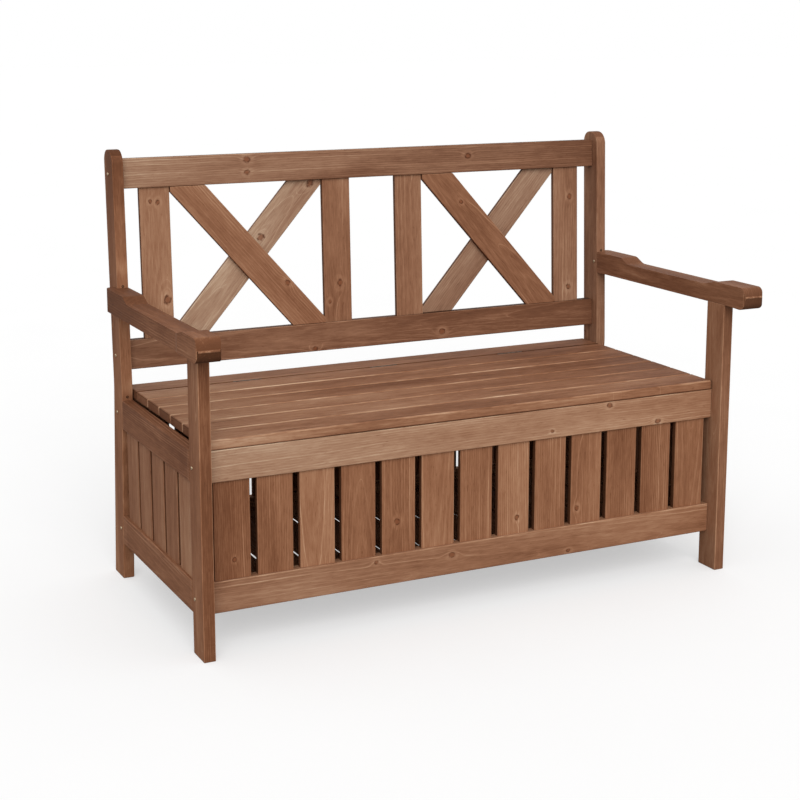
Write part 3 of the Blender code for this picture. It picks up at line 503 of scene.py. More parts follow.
def plated(name, colour, tarnish=0.45, depth=0.42):
    """Zinc plating that has dulled and spotted out of doors; depth is how dark the dull parts are."""
    if name in bpy.data.materials:
        return bpy.data.materials[name]
    material, w, shader = new_finish(name)
    position = w.position()
    cloud = w.noise(position, (160.0, 160.0, 160.0), 4.0, 0.6)
    spot = w.step(w.noise(position, (700.0, 700.0, 700.0), 2.0, 0.5), 0.60, 0.74)
    brushed = w.noise(position, (60.0, 2600.0, 2600.0), 2.0, 0.5)
    dull = [channel * depth for channel in colour]
    share = w.math("MULTIPLY", w.step(cloud, 0.35, 0.75), tarnish * 1.6, clamp=True)
    base = w.mix(share, (*colour, 1), (*dull, 1))
    w.feed(shader["Base Color"], w.mix(spot * tarnish, base, (*bpy.context.scene.bench_finish.rust, 1)))
    w.feed(shader["Roughness"], (cloud + brushed) * 0.16 + 0.24)
    w.feed(shader["Metallic"], 1.0 - spot * 0.8)
    w.feed(shader["Normal"], w.bump(brushed, 0.25, 0.00008))
    material.diffuse_color = (*colour, 1)
    return material


# Boards --------------------------------------------------------------------------------------------

def axes(origin, along, across):
    """Places a board by its middle, the way its grain runs and the way its width runs."""
    turn = Matrix((along, across, along.cross(across))).transposed().to_4x4()
    return Matrix.Translation(origin) @ turn


def rectangle(length, width):
    """The outline of a squared board about its middle."""
    return [Vector((u * length / 2, v * width / 2)) for u, v in ((-1, -1), (1, -1), (1, 1), (-1, 1))]


def rounded(corners, steps=10):
    """The points of an outline given as (u, v, radius) corners, each round one drawn as an arc."""
    points = []
    for index, (u, v, radius) in enumerate(corners):
        corner = Vector((u, v))
        if not radius:
            points.append(corner)
            continue
        before = (Vector(corners[index - 1][:2]) - corner).normalized()
        after = (Vector(corners[(index + 1) % len(corners)][:2]) - corner).normalized()
        half = before.angle(after) / 2
        centre = corner + (before + after).normalized() * radius / math.sin(half)
        first = corner + before * radius / math.tan(half) - centre
        sweep = first.angle_signed(corner + after * radius / math.tan(half) - centre)
        points += [centre + Matrix.Rotation(-sweep * step / steps, 2) @ first for step in range(steps + 1)]
    return points


def prism(outline, low, high, lay=Matrix.Identity(4)):
    """A closed solid between two copies of an outline, laid in place by a matrix."""
    bm = bmesh.new()
    base = bm.faces.new([bm.verts.new((u, v, low)) for u, v in outline])
    raised = bmesh.ops.extrude_face_region(bm, geom=[base])["geom"]
    bmesh.ops.translate(bm, verts=[part for part in raised if isinstance(part, bmesh.types.BMVert)],
                        vec=(0, 0, high - low))
    bmesh.ops.transform(bm, matrix=lay, verts=bm.verts)
    bmesh.ops.recalc_face_normals(bm, faces=bm.faces)
    return bm


def rod(start, end, radius, sides=24):
    """A closed cylinder from one point to another."""
    bm = bmesh.new()
    run = Vector(end) - Vector(start)
    where = Matrix.Translation(Vector(start) + run / 2) @ run.to_track_quat("Z", "Y").to_matrix().to_4x4()
    bmesh.ops.create_cone(bm, cap_ends=True, segments=sides, radius1=radius, radius2=radius,
                          depth=run.length, matrix=where)
    return bm


def block(low, high):
    """A closed box between two corners."""
    low, high = Vector(low), Vector(high)
    bm = bmesh.new()
    bmesh.ops.create_cube(bm, size=1.0, matrix=Matrix.LocRotScale((low + high) / 2, None, high - low))
    return bm


def as_mesh(bm, name):
    """Turns a finished bmesh into mesh data."""
    mesh = bpy.data.meshes.new(name)
    bm.to_mesh(mesh)
    bm.free()
    return mesh


def linked(name, data):
    """A new object in the scene."""
    thing = bpy.data.objects.new(name, data)
    bpy.context.scene.collection.objects.link(thing)
    return thing


def carved(bm, cuts):
    """The solid after cuts, given as (operation, solid) pairs and made one after the other."""
    body = linked("carving", as_mesh(bm, "carving"))
    tools = []
    for operation, solid in cuts:
        tools.append(linked("tool", as_mesh(solid, "tool")))
        modifier = body.modifiers.new("Carve", "BOOLEAN")
        modifier.operation = operation
        modifier.solver = "EXACT"
        modifier.object = tools[-1]
    bpy.context.view_layer.update()
    mesh = bpy.data.meshes.new_from_object(body.evaluated_get(bpy.context.evaluated_depsgraph_get()))
    result = bmesh.new()
    result.from_mesh(mesh)
    for old in [body, *tools]:
        data = old.data
        bpy.data.objects.remove(old, do_unlink=True)
        bpy.data.meshes.remove(data)
    bpy.data.meshes.remove(mesh)
    return result


def face_layer(bm, name):
    """A number that each face keeps for the finish to read."""
    return bm.faces.layers.float.get(name) or bm.faces.layers.float.new(name)


def mark_faces(bm):
    """Marks the faces that cut across the grain, and the sawn edges that run along it."""
    end, edge = face_layer(bm, "end_grain_and_shade"), face_layer(bm, "sawn_edge")
    bm.normal_update()
    for face in bm.faces:
        face[end] = float(abs(face.normal.x) > 0.6)
        face[edge] = float(abs(face.normal.y) > 0.7)


def ease(bm, radius, angle=35, segments=2):
    """Rounds the arrises of a board and marks them, so that the finish can wear there, and paint shade there
    where they face down.
    """
    mark_faces(bm)
    arris, sawn = face_layer(bm, "arris"), face_layer(bm, "sawn_edge")
    sharp = [edge for edge in bm.edges if len(edge.link_faces) == 2
             and edge.calc_face_angle(0) > math.radians(angle)]
    made = bmesh.ops.bevel(bm, geom=sharp, offset=radius, offset_type="OFFSET", segments=segments,
                           profile=0.5, affect="EDGES", clamp_overlap=True)
    for face in made["faces"]:
        face[arris] = 1.0
        face[sawn] = 0.0


def weather(bm, place, arris_wear_and_shade):
    """Wears the stain off the arrises that face up, as hands and weather do, less off those that face sideways,
    and paints shade on those that face down.

    The arris wear and shade is a share for the arrises in front, behind and across the grain; a share below
    zero turns the wear into painted shade, as on the arrises at the gaps of the seat.
    """
    front, rear, across = arris_wear_and_shade
    layer = face_layer(bm, "arris")
    turn = place.to_3x3()
    bm.normal_update()
    for face in bm.faces:
        if face[layer] > 0:
            facing = turn @ face.normal
            face[layer] *= 1.0 if facing.z > 0.15 else 0.6 if facing.z > -0.15 else -0.5
            if abs(face.normal.x) > 0.2 and abs(facing.y) < 0.3:
                face[layer] *= across
            elif abs(facing.y) > 0.3:
                face[layer] *= front if facing.y < 0 else rear


def dress(piece, finish, shade, greyed, edge, knots, half, rng):
    """Gives a board its own place in the timber: heart, seed, shade, greying and edge tone, knots and size."""
    piece.data.materials.append(pine(finish))
    piece["seed"] = rng.uniform(1, 40)
    # The shade is (tone, its slope along the grain, sway of the rings); the slope is painted light falling off
    # along the board.
    piece["shade"] = (shade[0], shade[1], rng.uniform(0.010, 0.028))
    if rng.random() < FLAT_SAWN_SHARE:
        piece["heart"] = (rng.uniform(-0.02, 0.02), -rng.uniform(0.035, 0.06), rng.uniform(-0.05, 0.05))
    else:
        piece["heart"] = (rng.choice((-1, 1)) * rng.uniform(0.045, 0.12), -rng.uniform(0.02, 0.06),
                          rng.uniform(-0.02, 0.02))
    if piece.name in HEARTS:
        piece["heart"] = HEARTS[piece.name]
        piece["shade"][2] = ARCH_SWAY
    piece["greying_and_edge_tone"] = (greyed[0], greyed[1], EDGE_TONES[finish] if edge is None else edge)
    for label, knot in zip("abc", [*knots, NO_KNOT, NO_KNOT, NO_KNOT]):
        piece["knot_" + label] = knot
    piece["half_size"] = half


def show(name, bm, place, body, node=None):
    """Links a finished solid to the scene as a piece that rides on a body and may stand for a solid."""
    bmesh.ops.recalc_face_normals(bm, faces=bm.faces)
    mesh = as_mesh(bm, name)
    mesh.shade_smooth()
    piece = linked(name, mesh)
    piece.matrix_world = place
    piece.modifiers.new("Flat faces stay flat", "WEIGHTED_NORMAL").weight = 100
    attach(piece, body)
    if node:
        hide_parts(node)
    return piece


def keep_sharp(piece, angle):
    """Leaves the edges of a piece that turn by more than an angle sharp."""
    piece.data.set_sharp_from_angle(angle=math.radians(angle))
    piece.modifiers[0].keep_sharp = True


# Knots of the boards, as (along the grain, across it, radius) from the middle of each board
KNOTS = {
    "apron_board": [(0.2895, 0.0215, 0.0040), (0.4026, -0.0222, 0.0045), (0.1606, -0.0148, 0.0026)],
    "front_low_rail_board": [(-0.0530, 0.0084, 0.0042), (0.2021, -0.0205, 0.0030), (-0.2098, 0.0178, 0.0030)],
    "box_front_slat_01": [(-0.0550, -0.0030, 0.0030)],
    "box_front_slat_05": [(-0.0306, 0.0030, 0.0046)],
    "box_front_slat_08": [(-0.0587, -0.0081, 0.0038)],
    "box_front_slat_10": [(-0.0581, 0.0196, 0.0036)],
    "back_slat_1_board": [(0.1195, 0.0087, 0.0030), (0.1167, -0.0056, 0.0034), (-0.0743, -0.0186, 0.0062)],
    "back_slat_2_board": [(-0.1054, 0.0188, 0.0030), (-0.0678, -0.0046, 0.0050)],
    "back_slat_4_board": [(-0.1160, -0.0067, 0.0045), (0.0833, -0.0100, 0.0044)],
    "back_high_rail_board": [(-0.2740, 0.0170, 0.0048), (-0.2748, -0.0075, 0.0040), (0.2206, 0.0061, 0.0045)],
    "back_low_rail_board": [(0.1545, -0.0125, 0.0048), (-0.1386, -0.0231, 0.0042)],
    "back_cross_rear_left_board": [(0.0445, 0.0035, 0.0058), (0.1958, -0.0099, 0.0062)],
    "back_cross_front_left_board": [(0.0952, 0.0195, 0.0045)],
    "back_cross_front_right_board": [(-0.1100, 0.0040, 0.0034)],
    "rear_post_left_board": [(0.0950, 0.0080, 0.0045)],
}
# Hearts of the boards with a figure of arches, as (across, behind, slope along the grain)
HEARTS = {
    "box_front_slat_03": (0.004, -0.040, 0.045),
    "box_front_slat_04": (-0.005, -0.050, -0.040),
    "box_front_slat_06": (0.010, -0.045, 0.030),
    "rear_post_left_board": (0.060, 0.0, 0.0),
    "back_cross_rear_left_board": (0.006, -0.045, -0.035),
    "back_low_rail_board": (0.004, -0.050, 0.022),
    "seat_slat_2": (0.006, -0.045, 0.012),
    "seat_slat_4": (-0.004, -0.050, -0.015),
    "armrest_right_board": (0.040, 0.004, 0.010),
}
ARCH_SWAY = 0.035
FLAT_SAWN_SHARE = 0.4
# Half size so large that the finish finds no arris in that direction but where a face is marked
FAR = 9
STRAY_KNOT_SHARE = 0.4
STRAY_KNOT_BOARDS = ("box_rear", "box_right", "floor", "lid_batten", "rear_", "side_low_rail_right",
                     "seat_slat_3")


def stray_knots(name, half, rng):
    """Now and then a knot on a board that the photograph does not show."""
    if rng.random() > STRAY_KNOT_SHARE or not name.startswith(STRAY_KNOT_BOARDS):
        return []
    return [(rng.uniform(-0.7, 0.7) * half[0], rng.uniform(-0.7, 0.7) * half[1], rng.uniform(0.0028, 0.005))]


def board(name, outline, thickness, place, finish, node, body="frame", shade=(0.5, 0.0),
          greyed=(0.0, 0.0), edge=None, radius=None, half=None, arris_wear_and_shade=(1.0, 1.0, 0.35), cuts=()):
    """One sanded and stained board, sawn to an outline."""
    sizes = bpy.context.scene.bench_sizes
    bm = prism(outline, -thickness / 2, thickness / 2)
    ease(bm, radius or sizes.arris)
    if cuts:
        for _, solid in cuts:
            bmesh.ops.transform(solid, matrix=place.inverted(), verts=solid.verts)
            mark_faces(solid)
        bm = carved(bm, cuts)
    weather(bm, place, arris_wear_and_shade)
    squared = [max(abs(point[axis]) for point in outline) for axis in (0, 1)] + [thickness / 2]
    rng = random.Random(name)
    knots = KNOTS.get(name) or stray_knots(name, squared, rng)
    piece = show(name, bm, place, body, node)
    dress(piece, finish, shade, greyed, edge, knots, half or squared, rng)


# Frame ends ----------------------------------------------------------------------------------------

def knee_line(z, knee, foot):
    """Where an edge of the rear posts runs at a height: kicked back below the knee, raked above."""
    return knee + (z - KNEE) * math.tan(RAKE) if z > KNEE else foot + (knee - foot) * z / KNEE


def post_front(z):
    """The front edge of the rear posts at a height."""
    return knee_line(z, POST_FRONT_KNEE, POST_FRONT_FOOT)


def post_back(z):
    """The rear edge of the rear posts at a height."""
    return knee_line(z, POST_BACK_KNEE, POST_BACK_FOOT)


def post_outline(grow=0.0):
    """The rear post seen from the side, as (y, z), grown towards the front by a clearance."""
    return rounded([(post_front(0) - grow, 0, 0), (post_back(0), 0, 0), (post_back(KNEE), KNEE, 0.15),
                    (post_back(POST_HEIGHT), POST_HEIGHT, 0.021),
                    (post_front(POST_HEIGHT) - grow, POST_HEIGHT, 0.026),
                    (post_front(KNEE) - grow, KNEE, 0.15)])


# Heights of an armrest above the front leg
SHOULDER = 0.0435
RUN = 0.0318
PADDLE = 0.0402
UNDERSIDE = -0.0015
NOSE_UNDERSIDE = -0.0038
BEAD = {"left": 0.0182, "right": 0.0222}
# How far behind the nose each paddle rises from the run
PADDLE_RISE = {"left": 0.108, "right": 0.132}
ARM_MIDDLE = 0.02
ARM_STEPS = 8
# Lays an outline given as (y, z) in its plane, with its thickness along X
SIDE_LAY = Matrix(((0, 0, 1, 0), (1, 0, 0, 0), (0, 1, 0, 0), (0, 0, 0, 1)))


def arm_profile(label):
    """The armrest seen from the side: shoulder at the post, thin run, raised paddle, nose with a bead."""
    tongue = post_front(ARM_HEIGHT) + ARM_TONGUE
    shoulder = post_front(ARM_HEIGHT) - 0.093
    rise = ARM_NOSE + PADDLE_RISE[label]
    bead = BEAD[label]
    corners = [(tongue, UNDERSIDE, 0), (tongue, SHOULDER, 0), (shoulder, SHOULDER, 0.020),
               (shoulder - 0.026, RUN, 0.030), (rise, RUN, 0.030), (rise - 0.034, PADDLE, 0.030),
               (ARM_NOSE + 0.0050, PADDLE, 0.0142), (ARM_NOSE + 0.0030, bead + 0.0022, 0),
               (ARM_NOSE + 0.0008, bead + 0.0016, 0), (ARM_NOSE, bead, 0),
               (ARM_NOSE + 0.0006, bead - 0.0014, 0), (ARM_NOSE + 0.0018, bead - 0.0022, 0),
               (ARM_NOSE + 0.0030, NOSE_UNDERSIDE, 0.0160),
               (LEG_FRONT - 0.012, UNDERSIDE, 0)]
    return rounded([(y, ARM_HEIGHT + z, radius) for y, z, radius in corners], ARM_STEPS)


def arm_plan(side):
    """The armrest seen from above: straight inside, flared paddle outside, rounded corners."""
    tongue = post_front(ARM_HEIGHT) + ARM_TONGUE
    outer = INNER_X + ARM_WIDTH
    corners = [(INNER_X, ARM_NOSE, 0.007), (outer + 0.0036, ARM_NOSE, 0.007),
               (outer + 0.0036, ARM_NOSE + 0.102, 0.017), (outer, ARM_NOSE + 0.119, 0.017),
               (outer, tongue, 0.013), (INNER_X, tongue, 0)]
    return rounded([(side * x, y, radius) for x, y, radius in corners], ARM_STEPS)


def stain_ends(bm, depth, bead):
    """Darkens the curves of an armrest that cut across the grain, where the end grain takes more stain, and
    paints shade under the bead of its nose, where the nose faces down.
    """
    arris, end = face_layer(bm, "arris"), face_layer(bm, "end_grain_and_shade")
    bm.normal_update()
    for face in bm.faces:
        slope, rise = abs(face.normal.x), face.calc_center_median().z
        face[end] = max(0.0, min((slope - 0.25) / 0.45, 1.0))
        if 0.06 < slope < 0.4 and abs(face.normal.y) > 0.85:
            face[arris] = 0.4
        if face.normal.x > 0.3 and face.calc_center_median().x > -ARM_NOSE - 0.05:
            if abs(rise - bead) < 0.0021:
                # The bead is drawn as a light line: sanded pine and a painted highlight.
                face[arris], face[end] = 1.5, 0.3
            else:
                # Under the bead the nose faces down: its end grain darkening is raised to 2.1 times, as painted
                # shade.
                face[arris], face[end] = 0.0, depth * (slope if rise > bead else 2.1)


def make_armrest(side, label, shade):
    """An armrest housed on the front leg, notched round the raked post so that a tongue runs past it."""
    place = axes(Vector((side * (INNER_X + ARM_WIDTH / 2), -0.03, ARM_HEIGHT + ARM_MIDDLE)), -Y, X)
    bm = prism(arm_profile(label), side * END_X - ARM_WIDTH * 1.5, side * END_X + ARM_WIDTH * 1.5, SIDE_LAY)
    plan = prism(arm_plan(side), ARM_HEIGHT - 0.05, ARM_HEIGHT + 0.1)
    shift = side * (END_X - BOARD / 2 + FIT)
    notch = prism(post_outline(FIT), shift - BOARD, shift + BOARD, SIDE_LAY)
    housing = block((side * END_X - BOARD / 2 - FIT, LEG_FRONT - FIT, ARM_HEIGHT - 0.05),
                    (side * END_X + BOARD / 2 + FIT, LEG_BACK + FIT, ARM_HEIGHT))
    bm = carved(bm, [("INTERSECT", plan), ("DIFFERENCE", notch), ("DIFFERENCE", housing)])
    bmesh.ops.transform(bm, matrix=place.inverted(), verts=bm.verts)
    bmesh.ops.remove_doubles(bm, verts=bm.verts, dist=0.00002)
    bmesh.ops.dissolve_limit(bm, angle_limit=math.radians(0.5), verts=bm.verts, edges=bm.edges)
    ease(bm, 0.0005, 38)
    weather(bm, place, (1.0, 1.0, 1.0))
    stain_ends(bm, 1.35 if label == "left" else 0.9, BEAD[label] - ARM_MIDDLE)
    piece = show("armrest_%s_board" % label, bm, place, "frame", "armrest_" + label)
    keep_sharp(piece, 24)
    dress(piece, "frame", shade, (0.12 + 0.08 * side, 0.0), 0.09 + 0.16 * side, [], (FAR, FAR, FAR),
          random.Random(label))


# Each post and leg as (shade, grey level, tone of the sawn edges), and the shade of the armrest; a shade is
# (tone, its slope along the grain). The slope paints light falling off along the board, and the tone of the
# sawn edges paints the front and back faces lighter or darker than the sides as painted light and shade.
END_LOOKS = {
    "left": (((0.41, -1.0), 0.0, -0.05), ((0.45, 0.0), 0.0, -0.50), (0.22, 0.9)),
    "right": (((0.32, 0.4), 0.4, 0.0), ((0.76, 0.0), 0.2, -0.49), (0.30, 0.1)),
}


class BENCH_OT_frame_ends(bpy.types.Operator):
    """Build the front legs, the raked rear posts and the armrests"""

    bl_idname = "bench.frame_ends"
    bl_label = "Frame Ends"

    def execute(self, context):
        middle = Vector((0, 0.255, POST_HEIGHT / 2))
        height = ARM_HEIGHT - FIT
        for label, side in SIDES.items():
            (post, post_grey, post_edge), (leg, leg_grey, leg_edge), arm = END_LOOKS[label]
            place = axes(middle + side * END_X * X, Z, Y)
            outline = [Vector((z - middle.z, y - middle.y)) for y, z in post_outline()]
            board("rear_post_%s_board" % label, outline, BOARD, place, "frame", "rear_post_" + label,
                  shade=post, greyed=(post_grey, 0.0), edge=post_edge, half=(FAR, FAR, BOARD / 2))
            place = axes(Vector((side * END_X, LEG_FRONT + LEG_DEPTH / 2, height / 2)), Z, Y)
            board("front_leg_%s_board" % label, rectangle(height, LEG_DEPTH), BOARD, place, "frame",
                  "front_leg_" + label, shade=leg, greyed=(leg_grey, 0.0), edge=leg_edge)
            make_armrest(side, label, arm)
        return {"FINISHED"}


# Box -----------------------------------------------------------------------------------------------

def stations(length, width, count):
    """Middles of a row of slats that share a length with equal gaps between and at the ends."""
    gap = (length - count * width) / (count + 1)
    return [-length / 2 + gap + width / 2 + step * (width + gap) for step in range(count)]


SLAT_ARRIS = 0.0012
# Tones of the slats in each row
FRONT_TONES = (0.38, 0.54, 0.84, 0.48, 0.50, 0.80, 0.43, 0.70, 0.47, 0.53, 0.46, 0.34, 0.63)
REAR_TONES = (0.5, 0.35, 0.6, 0.42, 0.55)
END_TONES = (0.74, 0.58, 0.38, 0.56, 0.44)


def make_slats(row, centres, across, finish, tones, node, greyed=(0.0, 0.0)):
    """Upright slats that stand in the rails of the box; their tones repeat, and node may hold their number."""
    low, high = LOW_RAIL + RAIL - TENON, HIGH_RAIL + TENON
    for number, centre in enumerate(centres, 1):
        place = axes(Vector((*centre, (low + high) / 2)), Z, across)
        board("%s_slat_%02d" % (row, number), rectangle(high - low, BOX_SLAT), SLAT, place, finish,
              node.format(number), shade=(tones[(number - 1) % len(tones)], 0.0), greyed=greyed,
              radius=SLAT_ARRIS)


class BENCH_OT_box(bpy.types.Operator):
    """Build the rails and upright slats of the box under the seat"""

    bl_idname = "bench.box"
    bl_label = "Box"

    def execute(self, context):
        for name, bottom, y, finish, node, shade, greyed in (
                ("apron", HIGH_RAIL, FRONT_Y, "frame", "front_apron", (1.04, -0.14), (0.45, -0.5)),
                ("front_low_rail", LOW_RAIL, FRONT_Y, "frame", "front_bottom_rail", (0.60, 0.08), (0.24, -0.3)),
                ("rear_top_rail", HIGH_RAIL, REAR_Y, "inside", "rear_top_rail", (0.80, 0.0), (0.3, 0.0)),
                ("rear_low_rail", LOW_RAIL, REAR_Y, "inside", "rear_slatted_panel", (0.75, 0.0), (0.3, 0.0))):
            place = axes(Vector((0, y, bottom + RAIL / 2)), X, Z)
            board(name + "_board", rectangle(RAIL_LENGTH, RAIL), BOARD, place, finish, node, shade=shade,
                  greyed=greyed, edge=0.0)
        xs = stations(2 * INNER_X, BOX_SLAT, 13)
        make_slats("box_front", [(x, FRONT_Y) for x in xs], -X, "slats", FRONT_TONES, "front_slat_{:02d}")
        make_slats("box_rear", [(x, REAR_Y) for x in xs], -X, "inside", REAR_TONES, "rear_slatted_panel")
        rear = post_front(HIGH_RAIL + RAIL / 2)
        ys = [(LEG_BACK + rear) / 2 + y for y in stations(rear - LEG_BACK, BOX_SLAT, 5)]
        for label, side in SIDES.items():
            panel = "side_slatted_panel_" + label
            make_slats("box_" + label, [(side * END_X, y) for y in ys], Y, "slats", END_TONES, panel,
                       (0.12, 0.0))
            for name, bottom, finish, node in (("top", HIGH_RAIL, "frame", "side_top_rail_" + label),
                                               ("low", LOW_RAIL, "slats", panel)):
                middle = Vector((side * END_X, 0.02, bottom + RAIL / 2))
                top = bottom + RAIL
                outline = [(LEG_BACK + FIT, bottom), (post_front(bottom) - FIT, bottom),
                           (post_front(top) - FIT, top), (LEG_BACK + FIT, top)]
                outline = [Vector((y - middle.y, z - middle.z)) for y, z in outline]
                board("side_%s_rail_%s_board" % (name, label), outline, BOARD, axes(middle, Y, Z), finish, node,
                      shade=(0.29, 0.0), greyed=(0.05, 0.0), edge=0.0, half=(0.19, RAIL / 2, BOARD / 2))
        return {"FINISHED"}


def floor_stations():
    """Middles of the floor boards."""
    return [(number - (FLOOR_BOARDS - 1) / 2) * FLOOR_PITCH for number in range(FLOOR_BOARDS)]


class BENCH_OT_storage_floor(bpy.types.Operator):
    """Lay the floor boards of the box on their two cleats"""

    bl_idname = "bench.storage_floor"
    bl_label = "Storage Floor"

    def execute(self, context):
        front, rear = FRONT_Y + BOARD / 2 + FIT, REAR_Y - BOARD / 2 - FIT
        tones = (0.6, 0.5, 0.7, 0.55)
        for number, x in enumerate(floor_stations()):
            place = axes(Vector((x, (front + rear) / 2, FLOOR_TOP - FLOOR_THICKNESS / 2)), Y, -X)
            board("floor_board_%02d" % (number + 1), rectangle(rear - front, FLOOR_WIDTH), FLOOR_THICKNESS,
                  place, "inside", "floor_panel", shade=(tones[number % 4], 0.0), radius=0.001)
        top = FLOOR_TOP - FLOOR_THICKNESS
        for name, y in (("front", front + CLEAT / 2), ("rear", rear - CLEAT / 2)):
            place = axes(Vector((0, y, top - CLEAT / 2)), X, Y)
            board("floor_cleat_" + name, rectangle(RAIL_LENGTH, CLEAT), CLEAT, place, "inside", "floor_panel",
                  shade=(0.4, 0.0))
        return {"FINISHED"}


# Back rest -----------------------------------------------------------------------------------------

def diagonal_outline(height, rising):
    """A diagonal of the crossed panels, clipped to its bay, in its own direction, and that direction."""
    lean = math.atan2(height, BAY - 2 * DIAGONAL_INSET)
    half_cut = BACK_SLAT / 2 / math.sin(lean)
    along = DIAGONAL_INSET + half_cut
    down = (half_cut - DIAGONAL_INSET) * math.tan(lean)
    left, right, top, bottom = -BAY / 2, BAY / 2, height / 2, -height / 2
    points = [(left, top), (left + along, top), (right, bottom + down), (right, bottom),
              (right - along, bottom), (left, top - down)]
    angle = lean if rising else -lean
    return [Matrix.Rotation(-angle, 2) @ Vector((-x if rising else x, z)) for x, z in points], angle


class BENCH_OT_back_rest(bpy.types.Operator):
    """Build the raked back rest: two rails, four slats and two panels of crossed slats"""

    bl_idname = "bench.back_rest"
    bl_label = "Back Rest"

    def execute(self, context):
        for name, low, node, shade, greyed in (
                ("back_high_rail_board", BACK_HIGH, "back_top_rail", (0.41, -0.62), (0.55, -0.25)),
                ("back_low_rail_board", BACK_LOW, "back_bottom_rail", (0.27, -0.50), (0.42, -0.25))):
            place = BACK_FRAME @ axes(Vector((0, 0, low + RAIL / 2)), X, Z)
            board(name, rectangle(RAIL_LENGTH, RAIL), BOARD, place, "back", node, shade=shade, greyed=greyed)
        clear = BACK_HIGH - BACK_LOW - RAIL
        middle = BACK_LOW + RAIL + clear / 2
        looks = ((0.78, 0.25), (0.62, 0.25), (0.76, 0.35), (0.67, 0.45))
        for number, (x, (tone, grey_level)) in enumerate(zip(BACK_OFFSETS, looks), 1):
            place = BACK_FRAME @ axes(Vector((x, 0, middle)), Z, -X)
            board("back_slat_%d_board" % number, rectangle(clear + 2 * TENON, BACK_SLAT), SLAT, place, "back",
                  "back_slat_%d" % number, shade=(tone, 0.0), greyed=(grey_level, 0.0), radius=SLAT_ARRIS)
        looks = {"front_left": (0.64, 0.15), "front_right": (0.60, 0.15), "rear_left": (1.00, 1.0),
                 "rear_right": (0.70, 1.0)}
        for label, side in SIDES.items():
            for form, rising, y in (("front", False, -LAP), ("rear", True, LAP)):
                outline, angle = diagonal_outline(clear - 2 * FIT, rising)
                turn = Matrix.Rotation(-angle, 3, "Y")
                place = BACK_FRAME @ axes(Vector((side * BAY_MIDDLE, y, middle)), turn @ X, turn @ Z)
                key = form + "_" + label
                tone, grey_level = looks[key]
                board("back_cross_%s_board" % key, outline, DIAGONAL, place, "back", "back_diagonal_" + key,
                      shade=(tone, 0.0), greyed=(grey_level, 0.0), radius=SLAT_ARRIS,
                      half=(FAR, BACK_SLAT / 2, DIAGONAL / 2))
        return {"FINISHED"}


# Seat ----------------------------------------------------------------------------------------------

def hinge_cuts(towards):
    """Housings for the leaves and knuckles of the hinges in the edge of a seat slat."""
    cuts = []
    for x in HINGES:
        low, high = x - HINGE_LENGTH / 2 - FIT, x + HINGE_LENGTH / 2 + FIT
        face = HINGE_Y + towards * 3 * LEAF_FACE
        cuts.append(("DIFFERENCE", block((low, face - LEAF_FACE, HINGE_Z - LEAF_HEIGHT),
                                         (high, face + LEAF_FACE, HINGE_Z))))
        cuts.append(("DIFFERENCE", rod((low, HINGE_Y, HINGE_Z), (high, HINGE_Y, HINGE_Z), KNUCKLE)))
    return cuts


def make_seat_slat(name, front, body, node, tone, edge=None, arris_wear_and_shade=(1.0, -1.3, -0.6), cuts=()):
    """One slat of the seat, with well rounded long edges; shares below zero in its arris wear and shade paint
    shade on the arrises at the gaps between the slats and at their ends.
    """
    place = axes(Vector((0, front + SEAT_SLAT / 2, SEAT_TOP - SEAT_THICKNESS / 2)), X, Y)
    board(name, rectangle(SEAT_LENGTH, SEAT_SLAT), SEAT_THICKNESS, place, "seat", node, body, (tone, -0.46),
          greyed=(0.15, -0.2), edge=edge, radius=bpy.context.scene.bench_sizes.seat_edge, arris_wear_and_shade=arris_wear_and_shade, cuts=cuts)


class BENCH_OT_seat(bpy.types.Operator):
    """Build the fixed rear slat of the seat, and the lid: its slats on their battens"""

    bl_idname = "bench.seat"
    bl_label = "Seat and Lid"

    def execute(self, context):
        for number, tone in enumerate((0.56, 0.47, 0.52, 0.45, 0.60, 0.70), 1):
            make_seat_slat("seat_slat_%d" % number, SEAT_FRONT + (number - 1) * SEAT_PITCH, "lid",
                           "lid_slat_%d" % number, tone, 0.20 if number == 1 else None,
                           cuts=hinge_cuts(-1) if number == LID_SLATS else ())
        make_seat_slat("seat_slat_fixed", REAR_SLAT_FRONT, "frame", "seat_rear_slat", 0.50,
                       arris_wear_and_shade=(-1.2, 0.6, -0.6), cuts=hinge_cuts(1))
        for number, x in enumerate(BATTENS, 1):
            middle = Vector((x, (BATTEN_FRONT + BATTEN_REAR) / 2, BATTEN_UNDERSIDE + BATTEN_THICKNESS / 2))
            board("lid_batten_%d_board" % number, rectangle(BATTEN_REAR - BATTEN_FRONT, BATTEN_WIDTH),
                  BATTEN_THICKNESS, axes(middle, Y, -X), "inside", "lid_batten_%d" % number, "lid",
                  (0.45, 0.0))
        return {"FINISHED"}


# Fixings -------------------------------------------------------------------------------------------

def turned(profile, sides=24):
    """A solid turned about Z from (radius, height) points."""
    bm = bmesh.new()
    points = [bm.verts.new((radius, 0, height)) for radius, height in profile]
    lines = [bm.edges.new(pair) for pair in zip(points, points[1:])]
    bmesh.ops.spin(bm, geom=points + lines, cent=(0, 0, 0), axis=(0, 0, 1), angle=2 * math.pi, steps=sides,
                   use_merge=True)
    bmesh.ops.remove_doubles(bm, verts=bm.verts, dist=0.000001)
    bmesh.ops.holes_fill(bm, edges=[edge for edge in bm.edges if edge.is_boundary])
    bmesh.ops.recalc_face_normals(bm, faces=bm.faces)
    return bm


def bolt_head(radius, height):
    """A low domed bolt head with a hexagon socket."""
    profile = [(0, -0.001), (radius, -0.001), (radius, height * 0.45), (radius * 0.92, height * 0.75),
               (radius * 0.7, height), (0, height)]
    hexagon = [Matrix.Rotation(math.radians(60 * step), 2) @ Vector((radius * 0.42, 0)) for step in range(6)]
    return carved(turned(profile), [("DIFFERENCE", prism(hexagon, height * 0.2, height * 2))])


